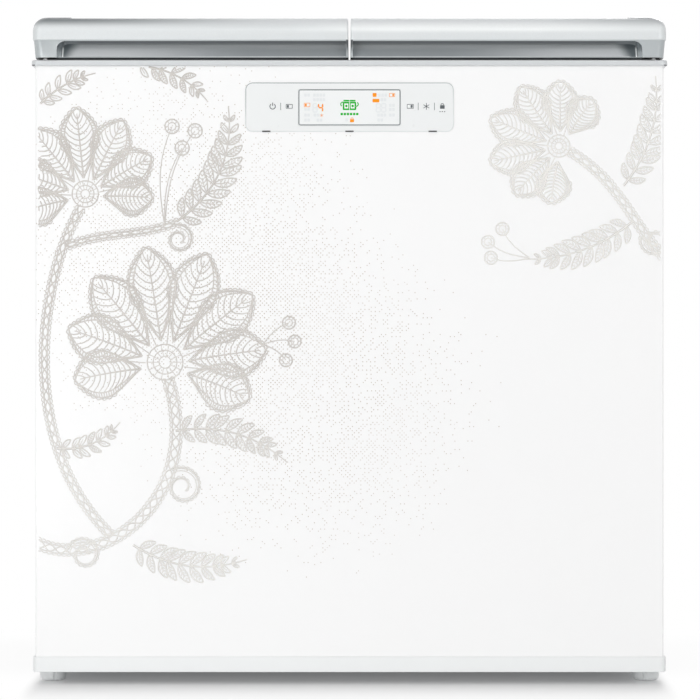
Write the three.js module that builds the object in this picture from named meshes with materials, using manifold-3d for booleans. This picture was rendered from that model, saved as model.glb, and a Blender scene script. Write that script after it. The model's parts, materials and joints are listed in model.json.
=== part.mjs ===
// A kimchi refrigerator with two lids that open upwards. Millimetres, +Z up, front towards -Y.
// The origin lies on the floor, under the middle of the whole outline.
import * as THREE from "three";
import { mergeVertices } from "three/addons/utils/BufferGeometryUtils.js";
import Module from "manifold-3d";

const wasm = await Module();
wasm.setup();

/* ------------------------------ driving dimensions ------------------------------ */

const FIT = 0.3; // between pieces that seat on each other
const RUN = 0.5; // beside a piece that turns
const SHEET = 1; // coated steel of the casing
const PAN_SHEET = 1.5; // base pan and machine-room ceiling

// tubs and the insulated walls round them
const TUB_WIDTH = 336;
const TUB_LENGTH = 566;
const TUB_DEPTH = 584.6;
const TUB_WALL = 1.5;
const TUB_CORNER = 25;
const TUB_FLOOR_EDGE = 18;
const TUB_RIM = 8;
const TUB_WEB = 64; // between the two tubs
const SIDE_WALL = 67.5; // casing to tub, at the sides
const FRONT_WALL = 60;
const REAR_WALL = 60;
const FLOOR_FOAM = 59.1;

// evaporator tube round each tub
const COIL_TUBE = 8;
const COIL_TURNS = 5;
const COIL_PITCH = 82;
const COIL_DROP = 70; // first turn below the tub's rim

// base
const FLOOR_GAP = 16;
const PAN_RISE = 4; // base pan above the kick strip's lower edge
const KICK_HEIGHT = 20.2; // to the casing's lower edge
const KICK_LAP = 1; // the strip's top laps over that edge
const KICK_PROUD = 3.5;
const KICK_WALL = 3;
const KICK_RETURN = 66; // how far the kick strip runs back round each corner
const KICK_CORNER = 9;
const MACHINE_HEIGHT = 192;
const FLANGE = 15; // turned-in edges of the side panels
const FRONT_RETURN = 12; // turned-back edges of the front panel
const PANEL_CORNER = 3;

// collar
const COLLAR_HEIGHT = 8.1;
const COLLAR_PLATE = 3;
const COLLAR_SIDE = 5.4; // beyond the side panels
const COLLAR_FRONT = 6;
const COLLAR_REAR = 6;
const COLLAR_EDGE = 2.5;
const COLLAR_CORNER = 10;
const COLLAR_LIP = 1; // the collar's opening lies this far inside the tub

// lids
const LID_GAP = 2.5; // collar to lid
const LID_HEIGHT = 54.9;
const LID_OVERHANG = 14; // beyond the front panel
const LID_SIDE_SET = 2.3; // inside the collar's side
const LID_SPLIT = 2.5; // between the lids, at their lower edge
const LID_DRAFT = 0.6; // the split opens upwards by this on each lid
const LID_WALL = 3;
const LID_CORNER = 12;
const CREASE_HEIGHT = 25.2; // above the lid's lower edge
const CREASE_DROP = 2.5;
const CREASE_SET = 1.5; // the face steps in by this below the crease
const LID_TAPER_FRONT = 5;
const LID_TAPER_SIDE = 3.2;
const SHOULDER_SIDE = 22; // rounding of the outer top edge, across and down
const SHOULDER_SIDE_DROP = 22;
const SHOULDER_FRONT = 22;
const SHOULDER_FRONT_DROP = 22;
const EDGE_ROUND = 3.5; // inner and rear top edges
const RAIL_WIDTH = 52;
const RAIL_HEIGHT = 2.4;
const TOP_WALL = 4;
const TOP_PANEL = 1.7;
const TOP_LEDGE = 6; // the frame reaches this far under the top panel
const TOP_MARGIN_INNER = 12;
const TOP_MARGIN_OUTER = 7; // to the rail
const TOP_MARGIN_FRONT = 36;
const TOP_MARGIN_REAR = 16;
const TOP_CORNER = 10;
const LINER_RISE = 4; // liner plate above the lid's lower edge
const LINER_WALL = 1.5;
const PLUG_DEPTH = 18; // below the lid's lower edge
const PLUG_CLEAR = 4; // plug to tub wall
const GASKET_WIDTH = 12;
const GASKET_OFFSET = 3; // plug to gasket

// grip recess under the lid's front face
const GRIP_END = 35.9; // collar's side to the recess's outer end
const GRIP_INNER_WALL = 3;
const GRIP_DEPTH = 25;
const GRIP_ROUND = 14;
const GRIP_POCKET = 3.8; // the ceiling lies this far above the lip
const GRIP_LIP = 4.5;
const GRIP_SILL = 2; // upright edge under the sloping back wall
const GRIP_SILL_SET = 12; // behind the lid's front face

// hinges
const HINGE_FROM_BACK = 10; // axis ahead of the back panel
const HINGE_SETBACK = 14; // axis behind the lid
const HINGE_RISE = 21.5; // axis above the collar
const HINGE_SPREAD = 210; // between the two hinges of a lid
const HINGE_CHEEKS = 58; // over the bracket's cheeks
const CHEEK = 3;
const BRACKET_PLATE = 3;
const CHEEK_ROUND = 8;
const PIN_RADIUS = 4;
const PIN_HEAD = 6;
const PIN_HEAD_THICK = 1.6;
const KNUCKLE_RADIUS = 7.5;
const KNUCKLE_WIDTH = 18;
const LEAF = 2.5;
const LEAF_BELOW = 13;
const LEAF_ABOVE = 6;
const SPRING_WIRE = 2;
const SPRING_RADIUS = 6.4;
const SPRING_CURLS = 6;
const SPRING_PITCH = 2.6;

// control panel
const BEZEL_WIDTH = 289;
const BEZEL_HEIGHT = 68.6;
const BEZEL_CORNER = 10;
const BEZEL_DROP = 23; // below the collar's skirt
const BEZEL_PROUD = 1.5;
const BEZEL_LIP = 8; // lies on the front panel all round
const BEZEL_BODY = 15; // depth of the box behind the lip
const BEZEL_FACE = 2.6; // thickness of the face inside the lip
const WINDOW_WIDTH = 141;
const WINDOW_HEIGHT = 49.6;
const WINDOW_CORNER = 2.5;
const WINDOW_THICK = 1.2;
const WINDOW_LEDGE = 2;
const WINDOW_RISE = -0.4; // window's middle above the bezel's middle
const NOTCH_WIDTH = 11.7;
const NOTCH_HEIGHT = 1.8;
const NOTCH_SPACING = 115.3;
const BOARD_THICK = 1.6;

// feet, rollers, bumpers and spacers
const FOOT_RADIUS = 18.5;
const FOOT_PAD = 17;
const FOOT_X = 20; // in from the side panel
const FOOT_Y = 46; // behind the front panel
const FOOT_EDGE = 6;
const FOOT_NOTCH = 4;
const FOOT_TURN = -14; // degrees, as its screw happens to stand
const STUD_RADIUS = 5;
const STUD_LENGTH = 34;
const BOSS_WALL = 4;
const BOSS_HEIGHT = 10;
const ROLLER_RADIUS = 14;
const ROLLER_WIDTH = 16;
const ROLLER_X = 56; // in from the side panel
const ROLLER_Y = 70; // ahead of the back panel
const AXLE_RADIUS = 3;
const BRACKET_SHEET = 2;
const BUMPER_RADIUS = 3;
const BUMPER_X = 19.3; // in from the collar's side
const BUMPER_Y = 6.5; // behind the collar's front
const SPACER_DEPTH = 20;
const SPACER_WIDTH = 46;
const SPACER_HEIGHT = 60;
const SPACER_DROP = 110; // below the collar

// back
const BEAD_DEPTH = 3;
const BEAD_WIDTH = 34;
const BEAD_COUNT = 4;
const LOUVRE_WIDTH = 6;
const LOUVRE_HEIGHT = 78;
const LOUVRE_PITCH = 15;
const LOUVRE_COUNT = 10; // in each of the two groups
const INLET_RADIUS = 9;
const INLET_X = 60; // in from the side panel
const INLET_Z = 24; // above the kick strip

// machine room
const CAN_RADIUS = 76;
const CAN_HEIGHT = 148;
const CAN_X = 205; // in from the right side panel
const CAN_Y = 175; // ahead of the back panel
const CAN_SEAM = 62; // lower edge of the weld seam, above the plate
const CAN_SEAM_HEIGHT = 12;
const CAN_SEAM_PROUD = 4;
const TERMINAL_WIDTH = 44;
const TERMINAL_HEIGHT = 44;
const TERMINAL_RISE = 80; // above the compressor's plate
const GROMMET = 13;
const FAN_RADIUS = 52;
const FAN_BLADES = 5;
const FAN_HUB = 15;
const FAN_HUB_LENGTH = 14;
const FAN_X = 373.5; // the shroud's face, in from the left side panel
const FAN_Y = 185; // ahead of the back panel
const SHROUD_WIDTH = 168;
const DUCT_WALL = 2;
const DUCT_LENGTH = 22;
const FAN_TIP_GAP = 4;
const MOTOR_RADIUS = 20;
const MOTOR_LENGTH = 34;
const MOTOR_SHAFT = 2.5;
const CONDENSER_TUBE = 6;
const CONDENSER_RUNS = 7;
const CONDENSER_LENGTH = 230;
const CONDENSER_ROWS_PITCH = 22;
const CONDENSER_PLATE = 2;
const BOX_X = 190; // control box, in from the left side panel
const BOX_Y = 90; // behind the front panel
const BOX_WIDTH = 140;
const BOX_DEPTH = 100;
const BOX_HEIGHT = 34;
const BOX_LID = 15;
const BOX_LID_PROUD = 3;

const CORNER_STEPS = 4;
const TUB_STEPS = 3; // and of what follows the tub's outline
const TURN_STEPS = 20; // sides of a turned piece

/* --------------------------------- derived places --------------------------------- */

const bodyWidth = 2 * (SIDE_WALL + TUB_WIDTH) + TUB_WEB;
const bodyDepth = FRONT_WALL + TUB_LENGTH + REAR_WALL;
const halfBody = bodyWidth / 2;
const frontY = -(LID_OVERHANG + bodyDepth + SPACER_DEPTH) / 2 + LID_OVERHANG;
const backY = frontY + bodyDepth;

const panBottom = FLOOR_GAP + PAN_RISE;
const panFloor = panBottom + PAN_SHEET;
const kickTop = FLOOR_GAP + KICK_HEIGHT;
const ceiling = panFloor + MACHINE_HEIGHT; // underside of the machine-room ceiling
const foamBottom = ceiling + PAN_SHEET + FIT;
const tubFloor = foamBottom + FLOOR_FOAM + FIT + TUB_WALL;
const tubTop = tubFloor + TUB_DEPTH;
const collarTop = tubTop + FIT + COLLAR_PLATE;
const sheetTop = collarTop - COLLAR_PLATE - FIT;
const skirtBottom = collarTop - COLLAR_HEIGHT;
const lidBottom = collarTop + LID_GAP;
const lidTop = lidBottom + LID_HEIGHT;
const railTop = lidTop + RAIL_HEIGHT;
const crease = lidBottom + CREASE_HEIGHT;
const lipBottom = crease - CREASE_DROP;

const collarHalf = halfBody + COLLAR_SIDE;
const collarFront = frontY - COLLAR_FRONT;
const collarRear = backY + COLLAR_REAR;
const lidOuter = collarHalf - LID_SIDE_SET;
const lidInner = LID_SPLIT / 2;
const lidFront = frontY - LID_OVERHANG;
const hingeY = backY - HINGE_FROM_BACK;
const hingeZ = collarTop + HINGE_RISE;
const lidRear = hingeY - HINGE_SETBACK;

const tubX = (TUB_WEB + TUB_WIDTH) / 2;
const tubFront = frontY + FRONT_WALL;
const tubRear = tubFront + TUB_LENGTH;
const footX = halfBody - FOOT_X;
const footY = frontY + FOOT_Y;
const rollerX = halfBody - ROLLER_X;
const rollerY = backY - ROLLER_Y;
const rollerGap = ROLLER_WIDTH + 2 * RUN; // between the bracket's cheeks
const bumperX = collarHalf - BUMPER_X;
const bumperY = collarFront + BUMPER_Y;
const beadPitch = bodyWidth / (BEAD_COUNT + 1);
const spacerX = halfBody - beadPitch / 2; // between the last bead and the side panel
const bezelTop = skirtBottom - BEZEL_DROP;
const bezelZ = bezelTop - BEZEL_HEIGHT / 2;
const windowZ = bezelZ + WINDOW_RISE;
const inletX = halfBody - INLET_X;
const inletZ = kickTop + INLET_Z;
const canX = halfBody - CAN_X;
const canY = backY - CAN_Y;
const shroudX = FAN_X - halfBody;
const fanY = backY - FAN_Y;
const fanZ = panFloor + MACHINE_HEIGHT / 2;

/* ---------------------------------- shape helpers ---------------------------------- */

const v3 = (x, y, z) => new THREE.Vector3(x, y, z);
const v2 = (x, y) => new THREE.Vector2(x, y);
const range = (count) => Array.from({ length: count }, (_, i) => i);

// A closed surface over rings of points that run anticlockwise about the way the rings advance.
function skin(rings, capFaces) {
  const count = rings[0].length;
  const index = [];
  for (let ring = 0; ring + 1 < rings.length; ring++) {
    for (let i = 0; i < count; i++) {
      const a = ring * count + i;
      const b = ring * count + ((i + 1) % count);
      index.push(a, b, b + count, a, b + count, a + count);
    }
  }
  const last = (rings.length - 1) * count;
  for (const [a, b, c] of capFaces) index.push(a, c, b, last + a, last + b, last + c);
  const geometry = new THREE.BufferGeometry().setFromPoints(rings.flat());
  geometry.setIndex(index);
  return geometry;
}

function solid(geometry) {
  const plain = geometry.clone();
  plain.deleteAttribute("normal");
  plain.deleteAttribute("uv");
  const merged = mergeVertices(plain, 1e-4);
  return new wasm.Manifold(
    new wasm.Mesh({
      numProp: 3,
      vertProperties: merged.attributes.position.array,
      triVerts: new Uint32Array(merged.index.array),
    }),
  );
}

function geometryOf(shape) {
  const mesh = shape.getMesh();
  const geometry = new THREE.BufferGeometry();
  geometry.setAttribute("position", new THREE.BufferAttribute(mesh.vertProperties, 3));
  geometry.setIndex(new THREE.BufferAttribute(mesh.triVerts, 1));
  const faceted = geometry.toNonIndexed();
  faceted.computeVertexNormals();
  return faceted;
}

const join = (...shapes) => shapes.flat().reduce((a, b) => a.add(b));
const cut = (shape, ...cutters) => cutters.flat().reduce((a, b) => a.subtract(b), shape);
const common = (a, b) => a.intersect(b);

const anticlockwise = (outline) =>
  THREE.ShapeUtils.isClockWise(outline) ? [...outline].reverse() : outline;

// A solid between outlines at rising heights, each with as many points as the next.
function loft(levels) {
  const rings = levels.map(({ z, outline }) => outline.map((p) => v3(p.x, p.y, z)));
  return solid(skin(rings, THREE.ShapeUtils.triangulateShape(levels[0].outline, [])));
}

function prism(drawn, z0, z1) {
  const outline = anticlockwise(drawn);
  return loft([
    { z: z0, outline },
    { z: z1, outline },
  ]);
}

// An outline of (x, z) points run along Y, and one of (y, z) points run along X.
function prismY(drawn, y0, y1) {
  const turned = anticlockwise(drawn.map((p) => v2(p.y, p.x)));
  const rings = [y0, y1].map((y) => turned.map((p) => v3(p.y, y, p.x)));
  return solid(skin(rings, THREE.ShapeUtils.triangulateShape(turned, [])));
}

function prismX(drawn, x0, x1) {
  const outline = anticlockwise(drawn);
  const rings = [x0, x1].map((x) => outline.map((p) => v3(x, p.x, p.y)));
  return solid(skin(rings, THREE.ShapeUtils.triangulateShape(outline, [])));
}

const box = (x0, x1, y0, y1, z0, z1) =>
  solid(
    new THREE.BoxGeometry(x1 - x0, y1 - y0, z1 - z0).translate(
      (x0 + x1) / 2,
      (y0 + y1) / 2,
      (z0 + z1) / 2,
    ),
  );

// A rectangle with rounded corners; radii go round from the corner of both low ends.
function rounded(x0, x1, y0, y1, radius, steps = CORNER_STEPS) {
  const radii = Array.isArray(radius) ? radius : [radius, radius, radius, radius];
  const corners = [
    [x0, y0, 1, 1],
    [x1, y0, -1, 1],
    [x1, y1, -1, -1],
    [x0, y1, 1, -1],
  ];
  return corners.flatMap(([x, y, inX, inY], i) => {
    const r = radii[i];
    if (!r) return [v2(x, y)];
    return range(steps + 1).map((k) => {
      const angle = (i - 2 + k / steps) * (Math.PI / 2);
      return v2(x + inX * r + r * Math.cos(angle), y + inY * r + r * Math.sin(angle));
    });
  });
}

const ring = (radius, steps = TURN_STEPS, x = 0, y = 0) =>
  range(steps).map((i) => {
    const angle = (2 * Math.PI * i) / steps;
    return v2(x + radius * Math.cos(angle), y + radius * Math.sin(angle));
  });

// A profile of (radius, height) points, from the axis up to the axis, turned about Z.
function turned(profile, steps = TURN_STEPS) {
  const points = profile.map(([radius, height]) => v2(radius, height));
  return solid(new THREE.LatheGeometry(points, steps).rotateX(Math.PI / 2));
}

const rod = (radius, z0, z1, steps = TURN_STEPS) =>
  turned(
    [
      [0, z0],
      [radius, z0],
      [radius, z1],
      [0, z1],
    ],
    steps,
  );

const alongX = (shape) => shape.rotate([0, 90, 0]);
const alongY = (shape) => shape.rotate([-90, 0, 0]);
const at = (shape, x, y, z) => shape.translate([x, y, z]);

// A round tube along a path of points, closed by a flat cap at each end.
function tubeGeometry(path, radius, sides) {
  let normal;
  const rings = path.map((point, i) => {
    const ahead = path[Math.min(i + 1, path.length - 1)];
    const tangent = ahead.clone().sub(path[Math.max(i - 1, 0)]).normalize();
    if (!normal) normal = v3(tangent.z, tangent.x, tangent.y);
    normal.addScaledVector(tangent, -normal.dot(tangent)).normalize();
    const side = tangent.clone().cross(normal);
    return range(sides).map((k) => {
      const angle = (2 * Math.PI * k) / sides;
      return point
        .clone()
        .addScaledVector(normal, radius * Math.cos(angle))
        .addScaledVector(side, radius * Math.sin(angle));
    });
  });
  return skin(
    rings,
    range(sides - 2).map((k) => [0, k + 1, k + 2]),
  );
}

// The least gap of a wound tube to itself, between points that lie at least half a turn apart.
function leastGap(path, radius, turn) {
  const run = [0];
  path.slice(1).forEach((point, i) => run.push(run[i] + point.distanceTo(path[i])));
  let least = Infinity;
  path.forEach((a, i) =>
    path.slice(i + 1).forEach((b, k) => {
      if (run[i + 1 + k] - run[i] > turn / 2) least = Math.min(least, a.distanceTo(b));
    }),
  );
  return least - 2 * radius;
}

/* ----------------------------- finishes and the scene ----------------------------- */

const FINISHES = {
  silver: { color: 0xd9dddf, roughness: 0.38, metalness: 0.35 },
  white_steel: { color: 0xf6f7f7, roughness: 0.3, metalness: 0 },
  white_plastic: { color: 0xeef0f1, roughness: 0.42, metalness: 0 },
  grey_plastic: { color: 0xcdd2d5, roughness: 0.45, metalness: 0 },
  black_plastic: { color: 0x25272a, roughness: 0.5, metalness: 0 },
  pale_window: { color: 0xf3f5f5, roughness: 0.12, metalness: 0 },
  zinc: { color: 0xaab0b3, roughness: 0.4, metalness: 0.9 },
  aluminium: { color: 0xc9cdd0, roughness: 0.35, metalness: 0.9 },
  copper: { color: 0xb87347, roughness: 0.35, metalness: 0.9 },
  black_steel: { color: 0x1d1f21, roughness: 0.45, metalness: 0.3 },
  foam: { color: 0xe8ddb4, roughness: 0.95, metalness: 0 },
  rubber: { color: 0x3a3d40, roughness: 0.8, metalness: 0 },
  pale_rubber: { color: 0xd5d9da, roughness: 0.7, metalness: 0 },
  circuit_board: { color: 0x2f6b47, roughness: 0.6, metalness: 0 },
};

const fridge = new THREE.Group();

function piece(name, shape, finish, parent = fridge) {
  const geometry = shape.isBufferGeometry ? shape : geometryOf(shape);
  const mesh = new THREE.Mesh(geometry, new THREE.MeshStandardMaterial(FINISHES[finish]));
  mesh.name = name;
  parent.add(mesh);
  return mesh;
}

// What both halves of the refrigerator have: made once, and mirrored for the left.
const SIDES = [
  ["left", -1],
  ["right", 1],
];
function mirrored(side) {
  const group = new THREE.Group();
  group.scale.x = side;
  fridge.add(group);
  return group;
}

/* ------------------------------------- casing ------------------------------------- */

const frontCorners = [PANEL_CORNER, PANEL_CORNER, 0, 0]; // the rear corners of the casing are sharp
const bodyOutline = (grow) =>
  rounded(-halfBody - grow, halfBody + grow, frontY - grow, backY + grow, frontCorners);

const bezelHole = (clear) =>
  rounded(
    -BEZEL_WIDTH / 2 + BEZEL_LIP - clear,
    BEZEL_WIDTH / 2 - BEZEL_LIP + clear,
    bezelZ - BEZEL_HEIGHT / 2 + BEZEL_LIP - clear,
    bezelZ + BEZEL_HEIGHT / 2 - BEZEL_LIP + clear,
    BEZEL_CORNER - BEZEL_LIP / 2,
  );

function frontPanel() {
  const low = kickTop + FIT;
  const back = frontY + FRONT_RETURN;
  const outer = rounded(-halfBody, halfBody, frontY, back, frontCorners);
  const hollow = rounded(-halfBody + SHEET, halfBody - SHEET, frontY + SHEET, back + 1, [
    PANEL_CORNER - SHEET,
    PANEL_CORNER - SHEET,
    0,
    0,
  ]);
  return cut(
    prism(outer, low, sheetTop),
    prism(hollow, low + SHEET, sheetTop - SHEET),
    prismY(bezelHole(FIT), frontY - 1, frontY + SHEET + 1),
  );
}

function sidePanel() {
  const front = frontY + FRONT_RETURN + FIT;
  const back = backY - SHEET - FIT;
  const outline = [
    v2(halfBody, front),
    v2(halfBody, back),
    v2(halfBody - FLANGE, back),
    v2(halfBody - FLANGE, back - SHEET),
    v2(halfBody - SHEET, back - SHEET),
    v2(halfBody - SHEET, front + SHEET),
    v2(halfBody - FLANGE, front + SHEET),
    v2(halfBody - FLANGE, front),
  ];
  return prism(outline, kickTop + FIT, sheetTop);
}

// The back panel's upright beads are pressed outwards, so each is hollow from inside.
function backPanel() {
  const low = ceiling + PAN_SHEET;
  const sheet = box(-halfBody + FIT, halfBody - FIT, backY - SHEET, backY, low, sheetTop);
  const beadLow = low + BEAD_WIDTH;
  const beadHigh = skirtBottom - BEAD_WIDTH;
  const bead = (x, y, shrink) => {
    const outline = (set) =>
      rounded(
        x - BEAD_WIDTH / 2 + set,
        x + BEAD_WIDTH / 2 - set,
        beadLow + set,
        beadHigh - set,
        BEAD_WIDTH / 2 - set - 0.5,
        2,
      ).map((p) => v2(p.y, p.x));
    const wide = anticlockwise(outline(shrink));
    const narrow = anticlockwise(outline(shrink + BEAD_DEPTH));
    const rings = [
      wide.map((p) => v3(p.y, y - SHEET, p.x)),
      wide.map((p) => v3(p.y, y, p.x)),
      narrow.map((p) => v3(p.y, y + BEAD_DEPTH, p.x)),
    ];
    return solid(skin(rings, THREE.ShapeUtils.triangulateShape(wide, [])));
  };
  const places = range(BEAD_COUNT).map((i) => -halfBody + beadPitch * (i + 1));
  return cut(
    join(sheet, places.map((x) => bead(x, backY, 0))),
    places.map((x) => bead(x, backY - SHEET, SHEET / 2)),
  );
}

function basePan() {
  const front = frontY + FIT;
  const back = backY - SHEET - FIT;
  const wall = (set) => rounded(-halfBody + set, halfBody - set, front + set, back - set, 2, 2);
  const slot = (x) =>
    box(
      x - rollerGap / 2 - BRACKET_SHEET - RUN,
      x + rollerGap / 2 + BRACKET_SHEET + RUN,
      rollerY - ROLLER_RADIUS - 3,
      rollerY + ROLLER_RADIUS + 3,
      panBottom - 1,
      panFloor + 1,
    );
  const boss = (x) => at(rod(STUD_RADIUS + BOSS_WALL, 0, PAN_SHEET + BOSS_HEIGHT), x, footY, panBottom);
  const bore = (x) =>
    at(rod(STUD_RADIUS + FIT, -1, PAN_SHEET + BOSS_HEIGHT + 1), x, footY, panBottom);
  return cut(
    join(
      cut(prism(wall(0), panBottom, kickTop), prism(wall(PAN_SHEET), panFloor, kickTop + 1)),
      boss(-footX),
      boss(footX),
    ),
    bore(-footX),
    bore(footX),
    slot(-rollerX),
    slot(rollerX),
  );
}

function kickStrip() {
  const outer = (set) =>
    rounded(
      -halfBody - KICK_PROUD + set,
      halfBody + KICK_PROUD - set,
      frontY - KICK_WALL - FIT + set,
      backY,
      KICK_CORNER - set,
    );
  const strip = loft([
    { z: FLOOR_GAP, outline: outer(0.8) },
    { z: FLOOR_GAP + 1, outline: outer(0) },
    { z: kickTop + KICK_LAP - 1, outline: outer(0) },
    { z: kickTop + KICK_LAP, outline: outer(0.8) },
  ]);
  const room = bodyOutline(FIT);
  return cut(
    strip,
    prism(room, FLOOR_GAP - 1, kickTop + KICK_LAP + 1),
    box(
      -collarHalf,
      collarHalf,
      frontY + KICK_RETURN,
      backY + 10,
      FLOOR_GAP - 1,
      kickTop + KICK_LAP + 1,
    ),
  );
}

const tubOutline = (x, grow) =>
  rounded(
    x - TUB_WIDTH / 2 - grow,
    x + TUB_WIDTH / 2 + grow,
    tubFront - grow,
    tubRear + grow,
    TUB_CORNER + grow,
    TUB_STEPS,
  );

function collar() {
  const outline = (set) =>
    rounded(
      -collarHalf + set,
      collarHalf - set,
      collarFront + set,
      collarRear - set,
      COLLAR_CORNER - set,
    );
  const edge = [0, 0.4, 0.8, 1].map((share) => ({
    z: collarTop - COLLAR_EDGE * (1 - share),
    outline: outline(COLLAR_EDGE * (1 - Math.sqrt(1 - share * share))),
  }));
  const block = loft([
    { z: skirtBottom, outline: outline(1) },
    { z: skirtBottom + 1, outline: outline(0) },
    ...edge,
  ]);
  const openings = [-tubX, tubX].map((x) =>
    prism(tubOutline(x, -COLLAR_LIP), collarTop - COLLAR_PLATE - 1, collarTop + 1),
  );
  const stemHoles = [-bumperX, bumperX].map((x) =>
    at(rod(BUMPER_RADIUS / 2 + FIT, -COLLAR_PLATE - 1, 1, 12), x, bumperY, collarTop),
  );
  return cut(
    block,
    prism(bodyOutline(FIT), skirtBottom - 1, collarTop - COLLAR_PLATE),
    openings,
    stemHoles,
  );
}

function machineCeiling() {
  const front = frontY + FRONT_RETURN + SHEET + 2 * FIT;
  const side = halfBody - FLANGE - FIT;
  return box(-side, side, front, backY - SHEET - FIT, ceiling, ceiling + PAN_SHEET);
}

function machineCover() {
  const low = panBottom;
  const high = ceiling + PAN_SHEET - FIT;
  const middle = (panFloor + ceiling) / 2;
  const louvres = [-1, 1].flatMap((side) =>
    range(LOUVRE_COUNT).map((i) => {
      const x = side * (halfBody - 90 - i * LOUVRE_PITCH);
      return box(
        x - LOUVRE_WIDTH / 2,
        x + LOUVRE_WIDTH / 2,
        backY - SHEET - 1,
        backY + 1,
        middle - LOUVRE_HEIGHT / 2,
        middle + LOUVRE_HEIGHT / 2,
      );
    }),
  );
  return cut(
    box(-halfBody + FIT, halfBody - FIT, backY - SHEET, backY, low, high),
    louvres,
    prismY(ring(INLET_RADIUS + FIT, 12, inletX, inletZ), backY - SHEET - 1, backY + 1),
  );
}

// A grommet that the mains lead would pass through, with a flange on each side of the cover.
function cordInlet() {
  const outside = INLET_RADIUS + 3;
  const profile = [
    [0, -SHEET - FIT - 2],
    [outside, -SHEET - FIT - 2],
    [outside, -SHEET - FIT],
    [INLET_RADIUS, -SHEET - FIT],
    [INLET_RADIUS, FIT],
    [outside, FIT],
    [outside - 1, FIT + 4],
    [0, FIT + 4],
  ];
  const bore = rod(INLET_RADIUS - 4, -10, 10, 12);
  return at(alongY(cut(turned(profile, 12), bore)), inletX, backY, inletZ);
}

function wallSpacer() {
  const z = skirtBottom - SPACER_DROP;
  const outline = (set) =>
    rounded(
      z - SPACER_HEIGHT / 2 + set,
      z + SPACER_HEIGHT / 2 - set,
      spacerX - SPACER_WIDTH / 2 + set,
      spacerX + SPACER_WIDTH / 2 - set,
      8 - set,
    );
  const levels = [
    [FIT, 0],
    [4, 0],
    [SPACER_DEPTH - 2, 5],
    [SPACER_DEPTH, 7],
  ];
  const rings = levels.map(([y, set]) => outline(set).map((p) => v3(p.y, backY + y, p.x)));
  return skin(rings, THREE.ShapeUtils.triangulateShape(outline(0), []));
}

/* -------------------------------- tubs and insulation -------------------------------- */

// Rounded floor edge: quarter turn of outlines that shrink towards the floor.
function tubLevels(x, grow, floor, edge, top) {
  const turn = range(4).map((i) => (i / 3) * (Math.PI / 2));
  const low = turn.map((angle) => ({
    z: floor + edge * (1 - Math.sin(angle)),
    outline: tubOutline(x, grow - edge * (1 - Math.cos(angle))),
  }));
  return [...low.reverse(), { z: top, outline: tubOutline(x, grow) }];
}

function tub() {
  const outside = loft(
    tubLevels(tubX, TUB_WALL, tubFloor - TUB_WALL, TUB_FLOOR_EDGE + TUB_WALL, tubTop),
  );
  const rim = prism(tubOutline(tubX, TUB_RIM), tubTop - TUB_WALL, tubTop);
  const inside = loft(tubLevels(tubX, 0, tubFloor, TUB_FLOOR_EDGE, tubTop + 1));
  return cut(join(outside, rim), inside);
}

const coilRadius = COIL_TUBE / 2;
const coilHigh = tubTop - COIL_DROP;
const coilLow = coilHigh - COIL_TURNS * COIL_PITCH;

// A tube that winds down round the tub, a pitch for each turn.
function evaporatorPath() {
  const turn = tubOutline(tubX, TUB_WALL + FIT + coilRadius).map((p) => v3(p.x, p.y, 0));
  const lengths = turn.map((p, i) => p.distanceTo(turn[(i + 1) % turn.length]));
  const total = lengths.reduce((a, b) => a + b);
  const path = [];
  let run = 0;
  for (let i = 0; i <= COIL_TURNS * turn.length; i++) {
    const point = turn[i % turn.length];
    path.push(v3(point.x, point.y, coilHigh - (run / total) * COIL_PITCH));
    run += lengths[i % turn.length];
  }
  return path;
}

function foamBody() {
  const top = tubTop - TUB_WALL - FIT;
  const front = frontY + SHEET + FIT;
  const back = backY - SHEET - FIT;
  const side = halfBody - SHEET - FIT;
  const flangeFront = frontY + FRONT_RETURN;
  const flangeNotches = [-1, 1].flatMap((s) =>
    [
      [flangeFront, flangeFront + SHEET + 3 * FIT],
      [back - SHEET - FIT, back + 1],
    ].map(([y0, y1]) => {
      const inner = s * (halfBody - FLANGE - FIT);
      const outer = s * (halfBody + 1);
      return box(Math.min(inner, outer), Math.max(inner, outer), y0, y1, foamBottom - 1, top + 1);
    }),
  );
  const tubRooms = [-tubX, tubX].map((x) =>
    prism(tubOutline(x, TUB_WALL + FIT), tubFloor - TUB_WALL - FIT, top + 1),
  );
  const coilRooms = [-tubX, tubX].map((x) =>
    prism(
      tubOutline(x, TUB_WALL + 2 * FIT + COIL_TUBE),
      coilLow - COIL_TUBE,
      coilHigh + COIL_TUBE,
    ),
  );
  return cut(
    prism(rounded(-side, side, front, back, frontCorners), foamBottom, top),
    flangeNotches,
    prismY(bezelHole(FIT), front - 1, frontY + BEZEL_BODY + 2 * FIT),
    tubRooms,
    coilRooms,
  );
}

/* ----------------------------------- control panel ----------------------------------- */

const bezelFront = frontY - FIT - BEZEL_PROUD;

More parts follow.
